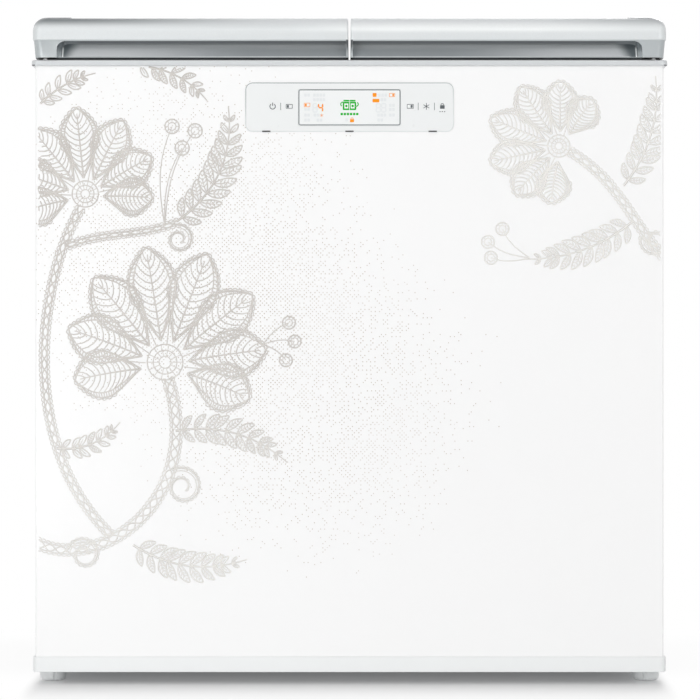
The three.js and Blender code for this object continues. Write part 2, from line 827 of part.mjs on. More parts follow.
function bezel() {
  const half = BEZEL_WIDTH / 2;
  const low = bezelZ - BEZEL_HEIGHT / 2;
  const high = bezelZ + BEZEL_HEIGHT / 2;
  const face = (set) =>
    rounded(low + set, high - set, -half + set, half - set, BEZEL_CORNER - set);
  const plate = [
    [bezelFront, 0.6],
    [bezelFront + 0.6, 0],
    [frontY - FIT, 0],
  ].map(([y, set]) => face(set).map((p) => v3(p.y, y, p.x)));
  const window = (grow, y0, y1) =>
    prismY(
      rounded(
        -WINDOW_WIDTH / 2 - grow,
        WINDOW_WIDTH / 2 + grow,
        windowZ - WINDOW_HEIGHT / 2 - grow,
        windowZ + WINDOW_HEIGHT / 2 + grow,
        WINDOW_CORNER,
      ),
      y0,
      y1,
    );
  const rearFace = frontY - FIT + BEZEL_FACE;
  const notches = [-1, 0, 1].map((i) =>
    box(
      i * NOTCH_SPACING - NOTCH_WIDTH / 2,
      i * NOTCH_SPACING + NOTCH_WIDTH / 2,
      bezelFront - 1,
      frontY,
      low - 1,
      low + NOTCH_HEIGHT,
    ),
  );
  return cut(
    join(
      solid(skin(plate, THREE.ShapeUtils.triangulateShape(face(0), []))),
      prismY(bezelHole(0), frontY - FIT - 0.5, frontY + BEZEL_BODY),
    ),
    prismY(bezelHole(-PAN_SHEET), rearFace, frontY + BEZEL_BODY + 1),
    window(FIT, bezelFront - 1, bezelFront + WINDOW_THICK + 2 * FIT),
    window(-WINDOW_LEDGE, bezelFront, rearFace + 1),
    notches,
  );
}

function displayWindow() {
  return prismY(
    rounded(
      -WINDOW_WIDTH / 2,
      WINDOW_WIDTH / 2,
      windowZ - WINDOW_HEIGHT / 2,
      windowZ + WINDOW_HEIGHT / 2,
      WINDOW_CORNER,
    ),
    bezelFront + FIT,
    bezelFront + FIT + WINDOW_THICK,
  );
}

function displayBoard() {
  const front = frontY + BEZEL_FACE + 1;
  const board = prismY(bezelHole(-PAN_SHEET - FIT), front + 3, front + 3 + BOARD_THICK);
  const digits = [-1, 1].map((i) =>
    box(i * 32 - 14, i * 32 + 14, front, front + 3.5, windowZ - 11, windowZ + 11),
  );
  return join(board, digits);
}

/* ---------------------------------------- lids ---------------------------------------- */

// How far a rounded top edge has drawn in at a height.
const shoulder = (z, across, down) => {
  const share = (z - railTop + down) / down;
  return share <= 0 ? 0 : across * (1 - Math.sqrt(1 - Math.min(share, 1) ** 2));
};

// How far a face has drawn in below the crease.
function undercut(z, taper) {
  if (z >= crease) return 0;
  if (z >= lipBottom) return (CREASE_SET * (crease - z)) / CREASE_DROP;
  return CREASE_SET + ((taper - CREASE_SET) * (lipBottom - z)) / (lipBottom - lidBottom);
}

// The lid's outline at a height, drawn in all round by a wall.
function lidOutline(z, wall = 0) {
  const side = lidOuter - shoulder(z, SHOULDER_SIDE, SHOULDER_SIDE_DROP) - undercut(z, LID_TAPER_SIDE);
  const front =
    lidFront + shoulder(z, SHOULDER_FRONT, SHOULDER_FRONT_DROP) + undercut(z, LID_TAPER_FRONT);
  const edge = shoulder(z, EDGE_ROUND, EDGE_ROUND);
  const inner = lidInner + (LID_DRAFT * (z - lidBottom)) / LID_HEIGHT + edge;
  const corner = LID_CORNER - wall;
  const small = EDGE_ROUND;
  return rounded(inner + wall, side - wall, front + wall, lidRear - edge - wall, [
    small,
    corner,
    corner,
    small,
  ]);
}

const SHOULDER_STEPS = [0, 0.25, 0.48, 0.66, 0.8, 0.9, 0.97, 1]; // shares of its height
const CAVITY_STEPS = [0, 0.48, 0.8];
function lidHeights(low, high, steps) {
  const marks = [lidBottom, lipBottom, crease];
  steps.forEach((share) => marks.push(railTop - SHOULDER_FRONT_DROP * (1 - share)));
  return [low, ...marks.filter((z) => z > low + 0.2 && z < high - 0.2), high];
}

// The grip recess, and with grow the room that its wall takes.
function gripRoom(grow) {
  const back = lidFront + GRIP_DEPTH;
  const sill = lidFront + GRIP_SILL_SET;
  const top = lipBottom + GRIP_POCKET;
  const low = lidBottom - 5;
  const outerEnd = collarHalf - GRIP_END;
  const section = [
    v2(lidFront - 10, low),
    v2(sill + grow, low),
    v2(sill + grow, lidBottom + GRIP_SILL),
    v2(back + grow, lipBottom - 2),
    v2(back - 3 + grow, top + grow),
    v2(lidFront + GRIP_LIP + 2, top + grow),
    v2(lidFront + GRIP_LIP, grow ? top + grow : lipBottom),
    v2(lidFront - 10, grow ? top + grow : lipBottom),
  ];
  if (grow) return prismX(section, -1, lidOuter + 1);
  const inner = lidInner + GRIP_INNER_WALL;
  const elevation = rounded(inner, outerEnd, low, top, [0, 0, GRIP_ROUND, 3]);
  const plan = rounded(inner, outerEnd, lidFront - 10, back, [0, 0, GRIP_ROUND, 3]);
  return common(
    common(prismX(section, inner, outerEnd), prismY(elevation, lidFront - 10, back)),
    prism(plan, low, top),
  );
}

const railInner = collarHalf - LID_SIDE_SET - RAIL_WIDTH;
const topPanelOutline = (grow) =>
  rounded(
    lidInner + TOP_MARGIN_INNER - grow,
    railInner - TOP_MARGIN_OUTER + grow,
    lidFront + TOP_MARGIN_FRONT - grow,
    lidRear - TOP_MARGIN_REAR + grow,
    TOP_CORNER + Math.min(grow, 0),
  );

function lidCavity(clear) {
  const wall = LID_WALL + clear;
  const top = lidTop - TOP_WALL - clear;
  const levels = lidHeights(lidBottom - 1, top, CAVITY_STEPS).map((z) => ({
    z,
    outline: lidOutline(Math.max(z + (z > crease ? wall : 0), lidBottom), wall),
  }));
  return cut(loft(levels), gripRoom(LID_WALL + clear));
}

function lidFrame() {
  const heights = lidHeights(lidBottom, railTop, SHOULDER_STEPS);
  const shell = cut(
    loft(heights.map((z) => ({ z, outline: lidOutline(z) }))),
    box(-5, railInner, lidFront - 5, lidRear + 5, lidTop, railTop + 5),
    lidCavity(0),
    gripRoom(0),
    prism(topPanelOutline(FIT), lidTop - TOP_PANEL - 2 * FIT, lidTop + 1),
    prism(topPanelOutline(-TOP_LEDGE), lidTop - TOP_WALL - 1, lidTop + 1),
  );
  // The outer corner is closed underneath, where it lands on its bumper.
  const heel = common(
    prism(lidOutline(lidBottom, LID_WALL / 2), lidBottom, lidBottom + LID_WALL),
    box(collarHalf - GRIP_END + 1, lidOuter, lidFront, lidFront + GRIP_DEPTH, 0, lidTop),
  );
  return join(shell, heel);
}

const lidTopPanel = () => prism(topPanelOutline(0), lidTop - TOP_PANEL - FIT, lidTop - FIT);

const linerLow = lidBottom + LINER_RISE;
const plugLow = lidBottom - PLUG_DEPTH;

// The liner: a plate inside the surround, with a hollow plug that enters the tub.
function lidLiner() {
  const side = lidOuter - LID_TAPER_SIDE - LID_WALL - FIT;
  const inner = lidInner + LID_DRAFT + LID_WALL + FIT;
  const front = lidFront + GRIP_DEPTH + LID_WALL + FIT;
  const rear = lidRear - LID_WALL - FIT;
  const outline = rounded(inner, side, front, rear, [3, 9, 9, 3]);
  const plate = prism(outline, linerLow, linerLow + LINER_WALL);
  const plug = loft([
    { z: plugLow, outline: tubOutline(tubX, -PLUG_CLEAR - 5) },
    { z: plugLow + 1.5, outline: tubOutline(tubX, -PLUG_CLEAR - 1.5) },
    { z: plugLow + 5, outline: tubOutline(tubX, -PLUG_CLEAR) },
    { z: linerLow + LINER_WALL, outline: tubOutline(tubX, -PLUG_CLEAR) },
  ]);
  return cut(
    join(plate, plug),
    prism(
      tubOutline(tubX, -PLUG_CLEAR - LINER_WALL - 3),
      plugLow + LINER_WALL,
      linerLow + LINER_WALL + 1,
    ),
  );
}

function lidFoam() {
  const low = linerLow + LINER_WALL + FIT;
  const body = common(
    lidCavity(FIT),
    box(-5, lidOuter, lidFront, lidRear, low, lidTop),
  );
  const behindGrip = box(
    -5,
    lidOuter + 5,
    lidFront - 5,
    lidFront + GRIP_DEPTH + LID_WALL + FIT,
    low - 1,
    lipBottom + GRIP_POCKET + LID_WALL + FIT,
  );
  const plug = prism(
    tubOutline(tubX, -PLUG_CLEAR - LINER_WALL - 3 - FIT),
    plugLow + LINER_WALL + FIT,
    low + 1,
  );
  return join(cut(body, behindGrip), plug);
}

// Hollow bellows seal: a ring round the plug that lands on the collar.
function lidGasket() {
  const low = collarTop + FIT;
  const high = linerLow - FIT;
  const near = GASKET_OFFSET - PLUG_CLEAR;
  const far = near + GASKET_WIDTH;
  const waist = (low + high) / 2;
  const outside = loft([
    { z: low, outline: tubOutline(tubX, far - 1) },
    { z: low + 1, outline: tubOutline(tubX, far) },
    { z: waist, outline: tubOutline(tubX, far - 1.2) },
    { z: high, outline: tubOutline(tubX, far) },
  ]);
  return cut(outside, prism(tubOutline(tubX, near), low - 1, high + 1));
}

/* --------------------------------------- hinges --------------------------------------- */

// Hinge pieces are drawn about the hinge axis: x across the hinge, y back, z up.
const baseZ = collarTop + FIT - hingeZ; // underside of the bracket's plate
const bracketRear = collarRear - 1 - hingeY;
const bracketFront = -10;
const cheekInside = HINGE_CHEEKS / 2 - CHEEK;

function hingeBracket() {
  const half = HINGE_CHEEKS / 2;
  const plateTop = baseZ + BRACKET_PLATE;
  const plate = prism(rounded(-half - 6, half + 6, bracketFront, bracketRear, 3, 2), baseZ, plateTop);
  const arc = range(7).map((i) => {
    const angle = (Math.PI * i) / 6;
    return v2(CHEEK_ROUND * Math.cos(angle), CHEEK_ROUND * Math.sin(angle));
  });
  const profile = [v2(bracketFront + 1, plateTop - 1), v2(bracketRear, plateTop - 1), ...arc];
  const cheeks = [-1, 1].map((side) => {
    const a = side * cheekInside;
    const b = side * half;
    return prismX(profile, Math.min(a, b), Math.max(a, b));
  });
  const rear = box(-half, half, bracketRear - 2.5, bracketRear, plateTop - 1, -6);
  const bore = alongX(rod(PIN_RADIUS + FIT, -half - 1, half + 1, 12));
  return cut(join(plate, cheeks, rear), bore);
}

function hingePin() {
  const end = HINGE_CHEEKS / 2 + FIT;
  const profile = [
    [0, -end - PIN_HEAD_THICK],
    [PIN_HEAD, -end - PIN_HEAD_THICK],
    [PIN_HEAD, -end],
    [PIN_RADIUS, -end],
    [PIN_RADIUS, end],
    [PIN_HEAD, end],
    [PIN_HEAD, end + PIN_HEAD_THICK],
    [0, end + PIN_HEAD_THICK],
  ];
  return alongX(turned(profile, 12));
}

const leafFront = -HINGE_SETBACK + FIT;
const knuckleLow = -cheekInside + RUN; // the knuckle stands beside one cheek, the spring by the other
const knuckleHigh = knuckleLow + KNUCKLE_WIDTH;

function hingeArm() {
  const half = cheekInside - RUN;
  const leaf = prismX(
    [
      v2(leafFront, -LEAF_BELOW),
      v2(leafFront + LEAF, -LEAF_BELOW),
      v2(leafFront + LEAF, LEAF_ABOVE - 1),
      v2(leafFront + LEAF - 1, LEAF_ABOVE),
      v2(leafFront, LEAF_ABOVE),
    ],
    -half,
    half,
  );
  const knuckle = alongX(rod(KNUCKLE_RADIUS, knuckleLow, knuckleHigh, 16));
  const web = prismX(
    [
      v2(leafFront + 1, -KNUCKLE_RADIUS),
      v2(0, -KNUCKLE_RADIUS),
      v2(0, KNUCKLE_RADIUS - 3),
      v2(leafFront + 1, KNUCKLE_RADIUS - 3),
    ],
    knuckleLow,
    knuckleHigh,
  );
  const bore = alongX(rod(PIN_RADIUS + FIT, knuckleLow - 1, knuckleHigh + 1, 12));
  return cut(join(leaf, knuckle, web), bore);
}

// Torsion spring round the pin: one leg stands on the bracket, the other pushes the leaf.
function springPath() {
  const start = knuckleHigh + RUN + SPRING_WIRE / 2;
  const legEnd = baseZ + BRACKET_PLATE + FIT;
  const leafFace = leafFront + LEAF + FIT;
  const path = [v3(start, SPRING_RADIUS, legEnd), v3(start, SPRING_RADIUS, legEnd + SPRING_WIRE)];
  const steps = SPRING_CURLS * 8 - 2; // three quarters of a turn make the last curl
  for (let i = 0; i <= steps; i++) {
    const angle = (i / 8) * 2 * Math.PI;
    const x = start + (SPRING_PITCH * i) / 8;
    path.push(v3(x, SPRING_RADIUS * Math.cos(angle), SPRING_RADIUS * Math.sin(angle)));
  }
  const end = path.at(-1);
  path.push(v3(end.x, leafFace + SPRING_WIRE, end.z), v3(end.x, leafFace, end.z));
  return path;
}

/* ------------------------------- feet, rollers, bumpers ------------------------------- */

function foot() {
  const profile = [
    [0, 0],
    [FOOT_RADIUS - FOOT_EDGE, 0],
    [FOOT_RADIUS - FOOT_EDGE * 0.5, FOOT_EDGE * 0.134],
    [FOOT_RADIUS - FOOT_EDGE * 0.134, FOOT_EDGE * 0.5],
    [FOOT_RADIUS, FOOT_EDGE],
    [FOOT_RADIUS, FOOT_PAD - 1],
    [FOOT_RADIUS - 1, FOOT_PAD],
    [STUD_RADIUS, FOOT_PAD],
    [STUD_RADIUS, FOOT_PAD + STUD_LENGTH - 1],
    [STUD_RADIUS - 1, FOOT_PAD + STUD_LENGTH],
    [0, FOOT_PAD + STUD_LENGTH],
  ];
  const notches = range(4).map((i) =>
    box(-FOOT_NOTCH / 2, FOOT_NOTCH / 2, -FOOT_RADIUS - 1, -FOOT_RADIUS + 3, 2, FOOT_PAD + 1).rotate([
      0,
      0,
      FOOT_TURN + 90 * i,
    ]),
  );
  return at(cut(turned(profile, 20), notches), footX, footY, 0);
}

// Sheet bracket over the roller, with its riveted axle.
function rollerBracket() {
  const cheek = rollerGap / 2 + BRACKET_SHEET;
  const top = 2 * ROLLER_RADIUS + 2;
  const reach = ROLLER_RADIUS + 2;
  const cheeks = [-1, 1].map((side) => {
    const a = side * (rollerGap / 2);
    const b = side * cheek;
    const profile = [
      v2(-reach, panFloor + FIT),
      v2(-AXLE_RADIUS - 3, ROLLER_RADIUS - 5),
      v2(AXLE_RADIUS + 3, ROLLER_RADIUS - 5),
      v2(reach, panFloor + FIT),
      v2(reach, top),
      v2(-reach, top),
    ];
    return prismX(profile, Math.min(a, b), Math.max(a, b));
  });
  const roof = box(-cheek, cheek, -reach, reach, top - 0.5, top + BRACKET_SHEET);
  const wings = [-1, 1].map((side) => {
    const a = side * (cheek - 0.5);
    const b = side * (cheek + 13);
    const z = panFloor + FIT;
    return box(Math.min(a, b), Math.max(a, b), -reach, reach, z, z + BRACKET_SHEET);
  });
  const axle = alongX(rod(AXLE_RADIUS, -cheek - 1, cheek + 1, 12)).translate([0, 0, ROLLER_RADIUS]);
  return at(join(cheeks, roof, wings, axle), rollerX, rollerY, 0);
}

function roller() {
  const half = ROLLER_WIDTH / 2;
  const profile = [
    [AXLE_RADIUS + FIT, -half],
    [ROLLER_RADIUS - 1, -half],
    [ROLLER_RADIUS, -half + 1],
    [ROLLER_RADIUS, half - 1],
    [ROLLER_RADIUS - 1, half],
    [AXLE_RADIUS + FIT, half],
    [AXLE_RADIUS + FIT, -half],
  ];
  return at(alongX(turned(profile, 20)), rollerX, rollerY, ROLLER_RADIUS);
}

function lidBumper() {
  const height = LID_GAP - FIT;
  const profile = [
    [0, -COLLAR_PLATE],
    [BUMPER_RADIUS / 2, -COLLAR_PLATE],
    [BUMPER_RADIUS / 2, FIT],
    [BUMPER_RADIUS, FIT],
    [BUMPER_RADIUS, height - 0.8],
    [BUMPER_RADIUS - 0.8, height],
    [0, height],
  ];
  return at(turned(profile, 12), bumperX, bumperY, collarTop);
}

/* ------------------------------------ machine room ------------------------------------ */

function compressor() {
  const floor = panFloor + FIT;
  const plateZ = GROMMET;
  const seamZ = plateZ + CAN_SEAM;
  const can = turned([
    [0, plateZ + 2],
    [CAN_RADIUS - 18, plateZ + 2],
    [CAN_RADIUS - CAN_SEAM_PROUD, plateZ + 14],
    [CAN_RADIUS - CAN_SEAM_PROUD, seamZ],
    [CAN_RADIUS, seamZ + CAN_SEAM_PROUD],
    [CAN_RADIUS, seamZ + CAN_SEAM_HEIGHT],
    [CAN_RADIUS - 5, plateZ + CAN_HEIGHT - 30],
    [CAN_RADIUS - 20, plateZ + CAN_HEIGHT - 8],
    [CAN_RADIUS - 42, plateZ + CAN_HEIGHT],
    [0, plateZ + CAN_HEIGHT],
  ]);
  const footprint = CAN_RADIUS + 16;
  const plate = prism(
    rounded(-footprint, footprint, -CAN_RADIUS + 14, CAN_RADIUS - 14, 10, 2),
    plateZ,
    plateZ + 3,
  );
  const grommets = [-1, 1].flatMap((x) =>
    [-1, 1].map((y) =>
      at(
        turned(
          [
            [0, 0],
            [12, 0],
            [8, 6],
            [12, plateZ + 1],
            [0, plateZ + 1],
          ],
          8,
        ),
        x * (footprint - 14),
        y * (CAN_RADIUS - 28),
        0,
      ),
    ),
  );
  const terminalZ = plateZ + TERMINAL_RISE;
  const terminalBox = box(
    -TERMINAL_WIDTH / 2,
    TERMINAL_WIDTH / 2,
    CAN_RADIUS - 12,
    CAN_RADIUS + 12,
    terminalZ,
    terminalZ + TERMINAL_HEIGHT,
  );
  return at(join(can, plate, grommets, terminalBox), canX, canY, floor);
}

// One tube that runs to and fro in upright rows, brazed to two end plates that stand on the pan.
const condenserX0 = shroudX - 40 - CONDENSER_LENGTH;
function condenserPath() {
  const bend = CONDENSER_ROWS_PITCH / 2;
  const x0 = condenserX0 + bend;
  const x1 = condenserX0 + CONDENSER_LENGTH - bend;
  const low = fanZ - ((CONDENSER_RUNS - 1) * CONDENSER_ROWS_PITCH) / 2;
  const path = [];
  range(CONDENSER_RUNS).forEach((i) => {
    const z = low + i * CONDENSER_ROWS_PITCH;
    const forward = i % 2 === 0;
    path.push(v3(forward ? x0 : x1, fanY, z), v3(forward ? x1 : x0, fanY, z));
    if (i === CONDENSER_RUNS - 1) return;
    for (let k = 1; k < 4; k++) {
      const angle = -Math.PI / 2 + (Math.PI * k) / 4;
      const x = (forward ? x1 : x0) + (forward ? 1 : -1) * bend * Math.cos(angle);
      path.push(v3(x, fanY, z + bend + bend * Math.sin(angle)));
    }
  });
  return path;
}

function condenser() {
  const path = condenserPath();
  const half = CONDENSER_ROWS_PITCH;
  const plates = [condenserX0 + 24, condenserX0 + CONDENSER_LENGTH - 24].map((x) =>
    box(
      x,
      x + CONDENSER_PLATE,
      fanY - half,
      fanY + half,
      panFloor + FIT,
      path.at(-1).z + 10,
    ),
  );
  const dryer = at(
    alongX(
      turned(
        [
          [0, -52],
          [4, -50],
          [9, -42],
          [9, 36],
          [4, 46],
          [0, 48],
        ],
        8,
      ),
    ),
    condenserX0 + CONDENSER_LENGTH / 2,
    fanY,
    path.at(-1).z + CONDENSER_TUBE,
  );
  return join(solid(tubeGeometry(path, CONDENSER_TUBE / 2, 6)), plates, dryer);
}

const ductInside = FAN_RADIUS + FAN_TIP_GAP;
const motorX = shroudX + FAN_HUB_LENGTH + 3;

function fanShroud() {
  const plate = prismX(
    rounded(fanY - SHROUD_WIDTH / 2, fanY + SHROUD_WIDTH / 2, panFloor + FIT, ceiling - FIT, 4, 2),
    shroudX,
    shroudX + DUCT_WALL,
  );
  const duct = prismX(ring(ductInside + DUCT_WALL, 24, fanY, fanZ), shroudX, shroudX + DUCT_LENGTH);
  const hole = prismX(ring(ductInside, 24, fanY, fanZ), shroudX - 1, shroudX + DUCT_LENGTH + 1);
  const spokeX = shroudX + DUCT_LENGTH - 4;
  const spokes = range(4).map((i) =>
    box(0, 4, -3, 3, MOTOR_RADIUS + FIT + 1, ductInside + 1)
      .rotate([90 * i + 45, 0, 0])
      .translate([spokeX, fanY, fanZ]),
  );
  const cup = cut(
    prismX(ring(MOTOR_RADIUS + FIT + 2.5, 16, fanY, fanZ), spokeX, spokeX + 10),
    prismX(ring(MOTOR_RADIUS + FIT, 16, fanY, fanZ), spokeX - 1, spokeX + 11),
  );
  return join(cut(join(plate, duct), hole), spokes, cup);
}

function fanMotor() {
  const shape = turned([
    [0, -FAN_HUB_LENGTH - 1],
    [MOTOR_SHAFT, -FAN_HUB_LENGTH - 1],
    [MOTOR_SHAFT, 0],
    [MOTOR_RADIUS - 2, 0],
    [MOTOR_RADIUS, 2],
    [MOTOR_RADIUS, MOTOR_LENGTH - 3],
    [MOTOR_RADIUS - 3, MOTOR_LENGTH],
    [0, MOTOR_LENGTH],
  ], 16);
  return at(alongX(shape), motorX, fanY, fanZ);
}

// Blades that grow wider and flatter towards their tips.
function fanBlade() {
  const middle = motorX - RUN - FAN_HUB_LENGTH / 2;
  const sections = [
    [FAN_HUB - 3, 20, 46],
    [(FAN_HUB + FAN_RADIUS) / 2, 27, 34],
    [FAN_RADIUS, 32, 24],
  ];
  const blade = () =>
    solid(
      skin(
        sections.map(([radius, chord, pitch]) => {
          const angle = (pitch * Math.PI) / 180;
          const reach = Math.min(chord / 2, (FAN_HUB_LENGTH - 2) / 2 / Math.sin(angle));
          const along = v3(Math.sin(angle), Math.cos(angle), 0);
          const across = v3(-Math.cos(angle), Math.sin(angle), 0);
          return [
            [-1, 1],
            [-1, -1],
            [1, -1],
            [1, 1],
          ].map(([a, b]) =>
            v3(0, 0, radius).addScaledVector(along, a * reach).addScaledVector(across, b * 0.9),
          );
        }),
        [
          [0, 1, 2],
          [0, 2, 3],
        ],
      ),
    );
  const hub = alongX(rod(FAN_HUB, -FAN_HUB_LENGTH / 2, FAN_HUB_LENGTH / 2));
  const bore = alongX(rod(MOTOR_SHAFT + FIT, -FAN_HUB_LENGTH, FAN_HUB_LENGTH, 16));
  const blades = range(FAN_BLADES).map((i) => blade().rotate([(360 / FAN_BLADES) * i, 0, 0]));
  return at(cut(join(hub, blades), bore), middle, fanY, fanZ);
}

function controlBox() {
  const x = BOX_X - halfBody;
  const y = frontY + BOX_Y;
  const floor = panFloor + FIT;
  const top = floor + BOX_HEIGHT + BOX_LID;
  const outline = (grow) =>
    rounded(
      x - BOX_WIDTH / 2 - grow,
      x + BOX_WIDTH / 2 + grow,
      y - BOX_DEPTH / 2 - grow,
      y + BOX_DEPTH / 2 + grow,
      5 + grow / 3,
      2,
    );
  const base = prism(outline(0), floor, floor + BOX_HEIGHT);
  const lid = loft([
    { z: floor + BOX_HEIGHT - 1, outline: outline(BOX_LID_PROUD) },
    { z: top - BOX_LID_PROUD, outline: outline(BOX_LID_PROUD) },
    { z: top, outline: outline(0) },
  ]);
  return join(base, lid);
}

/* -------------------------------------- assembly -------------------------------------- */

piece("front_panel", frontPanel(), "white_steel");
piece("back_panel", backPanel(), "zinc");
piece("base_pan", basePan(), "zinc");
piece("kick_strip", kickStrip(), "white_plastic");
piece("top_collar", collar(), "silver");
piece("foam_body", foamBody(), "foam");
piece("machine_ceiling", machineCeiling(), "zinc");
piece("machine_cover", machineCover(), "zinc");
piece("cord_inlet", cordInlet(), "black_plastic");
piece("display_bezel", bezel(), "white_plastic");
piece("display_window", displayWindow(), "pale_window");
piece("display_board", displayBoard(), "circuit_board");
piece("compressor", compressor(), "black_steel");
piece("condenser", condenser(), "copper");
piece("fan_shroud", fanShroud(), "black_plastic");
piece("fan_motor", fanMotor(), "zinc");
piece("fan_blade", fanBlade(), "white_plastic");
piece("control_box", controlBox(), "white_plastic");

for (const [name, side] of SIDES) {
  const half = mirrored(side);
  const coil = evaporatorPath();
  piece("side_panel_" + name, sidePanel(), "white_steel", half);
  piece("tub_" + name, tub(), "aluminium", half);
  piece("evaporator_" + name, tubeGeometry(coil, coilRadius, 5), "copper", half);
  piece("rear_spacer_" + name, wallSpacer(), "grey_plastic", half);
  piece("foot_" + name, foot(), "grey_plastic", half);
  piece("roller_bracket_" + name, rollerBracket(), "zinc", half);
  piece("roller_" + name, roller(), "white_plastic", half);
  piece("lid_bumper_" + name, lidBumper(), "pale_rubber", half);
  const coilGap = leastGap(coil, coilRadius, 2 * (TUB_WIDTH + TUB_LENGTH));
  console.log("evaporator_" + name + " least gap to itself", coilGap.toFixed(2));

  piece("lid_frame_" + name, lidFrame(), "silver", half);
  piece("lid_top_panel_" + name, lidTopPanel(), "white_steel", half);
  piece("lid_liner_" + name, lidLiner(), "white_plastic", half);
  piece("lid_foam_" + name, lidFoam(), "foam", half);
  piece("lid_gasket_" + name, lidGasket(), "rubber", half);

  // each hinge is placed at its axis; the second is the first's mirror image
  const lidMiddle = (lidInner + lidOuter) / 2;
  for (const [place, offset] of [
    ["inner", -1],
    ["outer", 1],
  ]) {
    const hinge = new THREE.Group();
    hinge.position.set(lidMiddle + (offset * HINGE_SPREAD) / 2, hingeY, hingeZ);
    hinge.scale.x = offset;
    half.add(hinge);
    const label = name + "_" + place;
    const spring = springPath();
    piece("hinge_bracket_" + label, hingeBracket(), "zinc", hinge);
    piece("hinge_pin_" + label, hingePin(), "zinc", hinge);
    piece("hinge_spring_" + label, tubeGeometry(spring, SPRING_WIRE / 2, 5), "black_steel", hinge);
    piece("hinge_arm_" + label, hingeArm(), "zinc", hinge);
    const springGap = leastGap(spring, SPRING_WIRE / 2, 2 * Math.PI * SPRING_RADIUS);
    console.log("hinge_spring_" + label + " least gap to itself", springGap.toFixed(2));
  }
}

export default fridge;
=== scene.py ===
"""Looks of a kimchi refrigerator with two lids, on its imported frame. Metres, +Z up, front towards -Y."""

import cmath
import json
import math

import bpy
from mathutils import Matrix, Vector


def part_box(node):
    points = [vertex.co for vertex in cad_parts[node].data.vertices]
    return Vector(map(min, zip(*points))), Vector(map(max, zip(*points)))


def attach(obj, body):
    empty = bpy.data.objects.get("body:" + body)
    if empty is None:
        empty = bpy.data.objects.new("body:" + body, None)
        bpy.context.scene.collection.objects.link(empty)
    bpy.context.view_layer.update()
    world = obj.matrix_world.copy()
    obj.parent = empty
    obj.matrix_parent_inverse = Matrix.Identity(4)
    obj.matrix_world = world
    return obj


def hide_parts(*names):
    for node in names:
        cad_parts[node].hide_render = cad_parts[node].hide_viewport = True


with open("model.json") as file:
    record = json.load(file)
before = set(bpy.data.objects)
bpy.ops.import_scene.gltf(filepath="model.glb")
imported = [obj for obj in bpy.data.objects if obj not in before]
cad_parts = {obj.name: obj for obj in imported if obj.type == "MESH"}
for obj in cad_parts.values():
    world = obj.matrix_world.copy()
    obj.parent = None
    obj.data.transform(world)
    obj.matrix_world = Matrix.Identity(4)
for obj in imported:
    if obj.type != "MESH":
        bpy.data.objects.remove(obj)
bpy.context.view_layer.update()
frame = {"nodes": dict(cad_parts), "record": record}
scene = bpy.context.scene
scene.view_settings.view_transform = "Standard"

MM = 0.001
SIDES = ("left", "right")
HINGES = [(side, place) for side in SIDES for place in ("inner", "outer")]

# what the frame sets
PANEL_LOW, PANEL_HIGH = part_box("front_panel")
PANEL_FACE = PANEL_LOW.y
WINDOW_LOW, WINDOW_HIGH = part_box("display_window")
BEZEL_LOW, BEZEL_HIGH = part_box("display_bezel")
COLLAR_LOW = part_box("top_collar")[0]
COVER_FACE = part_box("machine_cover")[1].y
SLOTS = {row["node"]: row["material_slot"] for row in frame["record"]["subparts"]}

# heights on the lids, in millimetres
LID_BOTTOM = 866.6
RECESS_SILL = 868.6
CREASE = 891.8  # across the front face
RAIL_TOP = 923.9


# ---------- camera

CAMERA_DISTANCE = 3.8  # to the front panel
CAMERA_HEIGHT = 0.4622
VIEW_WIDTH = 0.9702  # what the picture's width takes in at the front panel
CAMERA_ASIDE = 0.0007


def set_camera():
    place = (CAMERA_ASIDE, PANEL_FACE - CAMERA_DISTANCE, CAMERA_HEIGHT)
    bpy.ops.object.camera_add(location=place, rotation=(math.pi / 2, 0, 0))
    camera = bpy.context.object
    camera.name = "camera"
    camera.data.sensor_width = 36
    camera.data.lens = camera.data.sensor_width * CAMERA_DISTANCE / VIEW_WIDTH
    scene.camera = camera


set_camera()


# ---------- shader helpers


class Value:
    """A number that comes out of a node. Arithmetic on it adds Math nodes."""

    def __init__(self, finish, socket):
        self.finish, self.socket = finish, socket

    def math(self, operation, *others):
        node = self.finish.add("Math", {"operation": operation})
        for place, item in enumerate((self, *others)):
            self.finish.feed(node.inputs[place], item)
        return Value(self.finish, node.outputs[0])

    def __add__(self, other):
        return self.math("ADD", other)

    __radd__ = __add__

    def __mul__(self, other):
        return self.math("MULTIPLY", other)

    __rmul__ = __mul__

    def __sub__(self, other):
        return self.math("SUBTRACT", other)

    def __rsub__(self, other):
        return (self * -1.0) + other

    def __truediv__(self, other):
        return self.math("DIVIDE", other)

    def __pow__(self, other):
        return self.math("POWER", other)

    def floor(self):
        return self.math("FLOOR")

    def abs(self):
        return self.math("ABSOLUTE")

    def root(self):
        return self.math("SQRT")

    def below(self, other):
        return self.math("LESS_THAN", other)

    def eased(self, low, high):
        """0 under low, 1 over high, and a smooth rise between them."""
        node = self.finish.add("MapRange", {"interpolation_type": "SMOOTHSTEP"})
        self.finish.feed(node.inputs["Value"], self)
        node.inputs["From Min"].default_value = low
        node.inputs["From Max"].default_value = high
        return Value(self.finish, node.outputs["Result"])

    def between(self, low, high):
        """The same smooth rise, between two places in millimetres."""
        return self.eased(low * MM, high * MM)


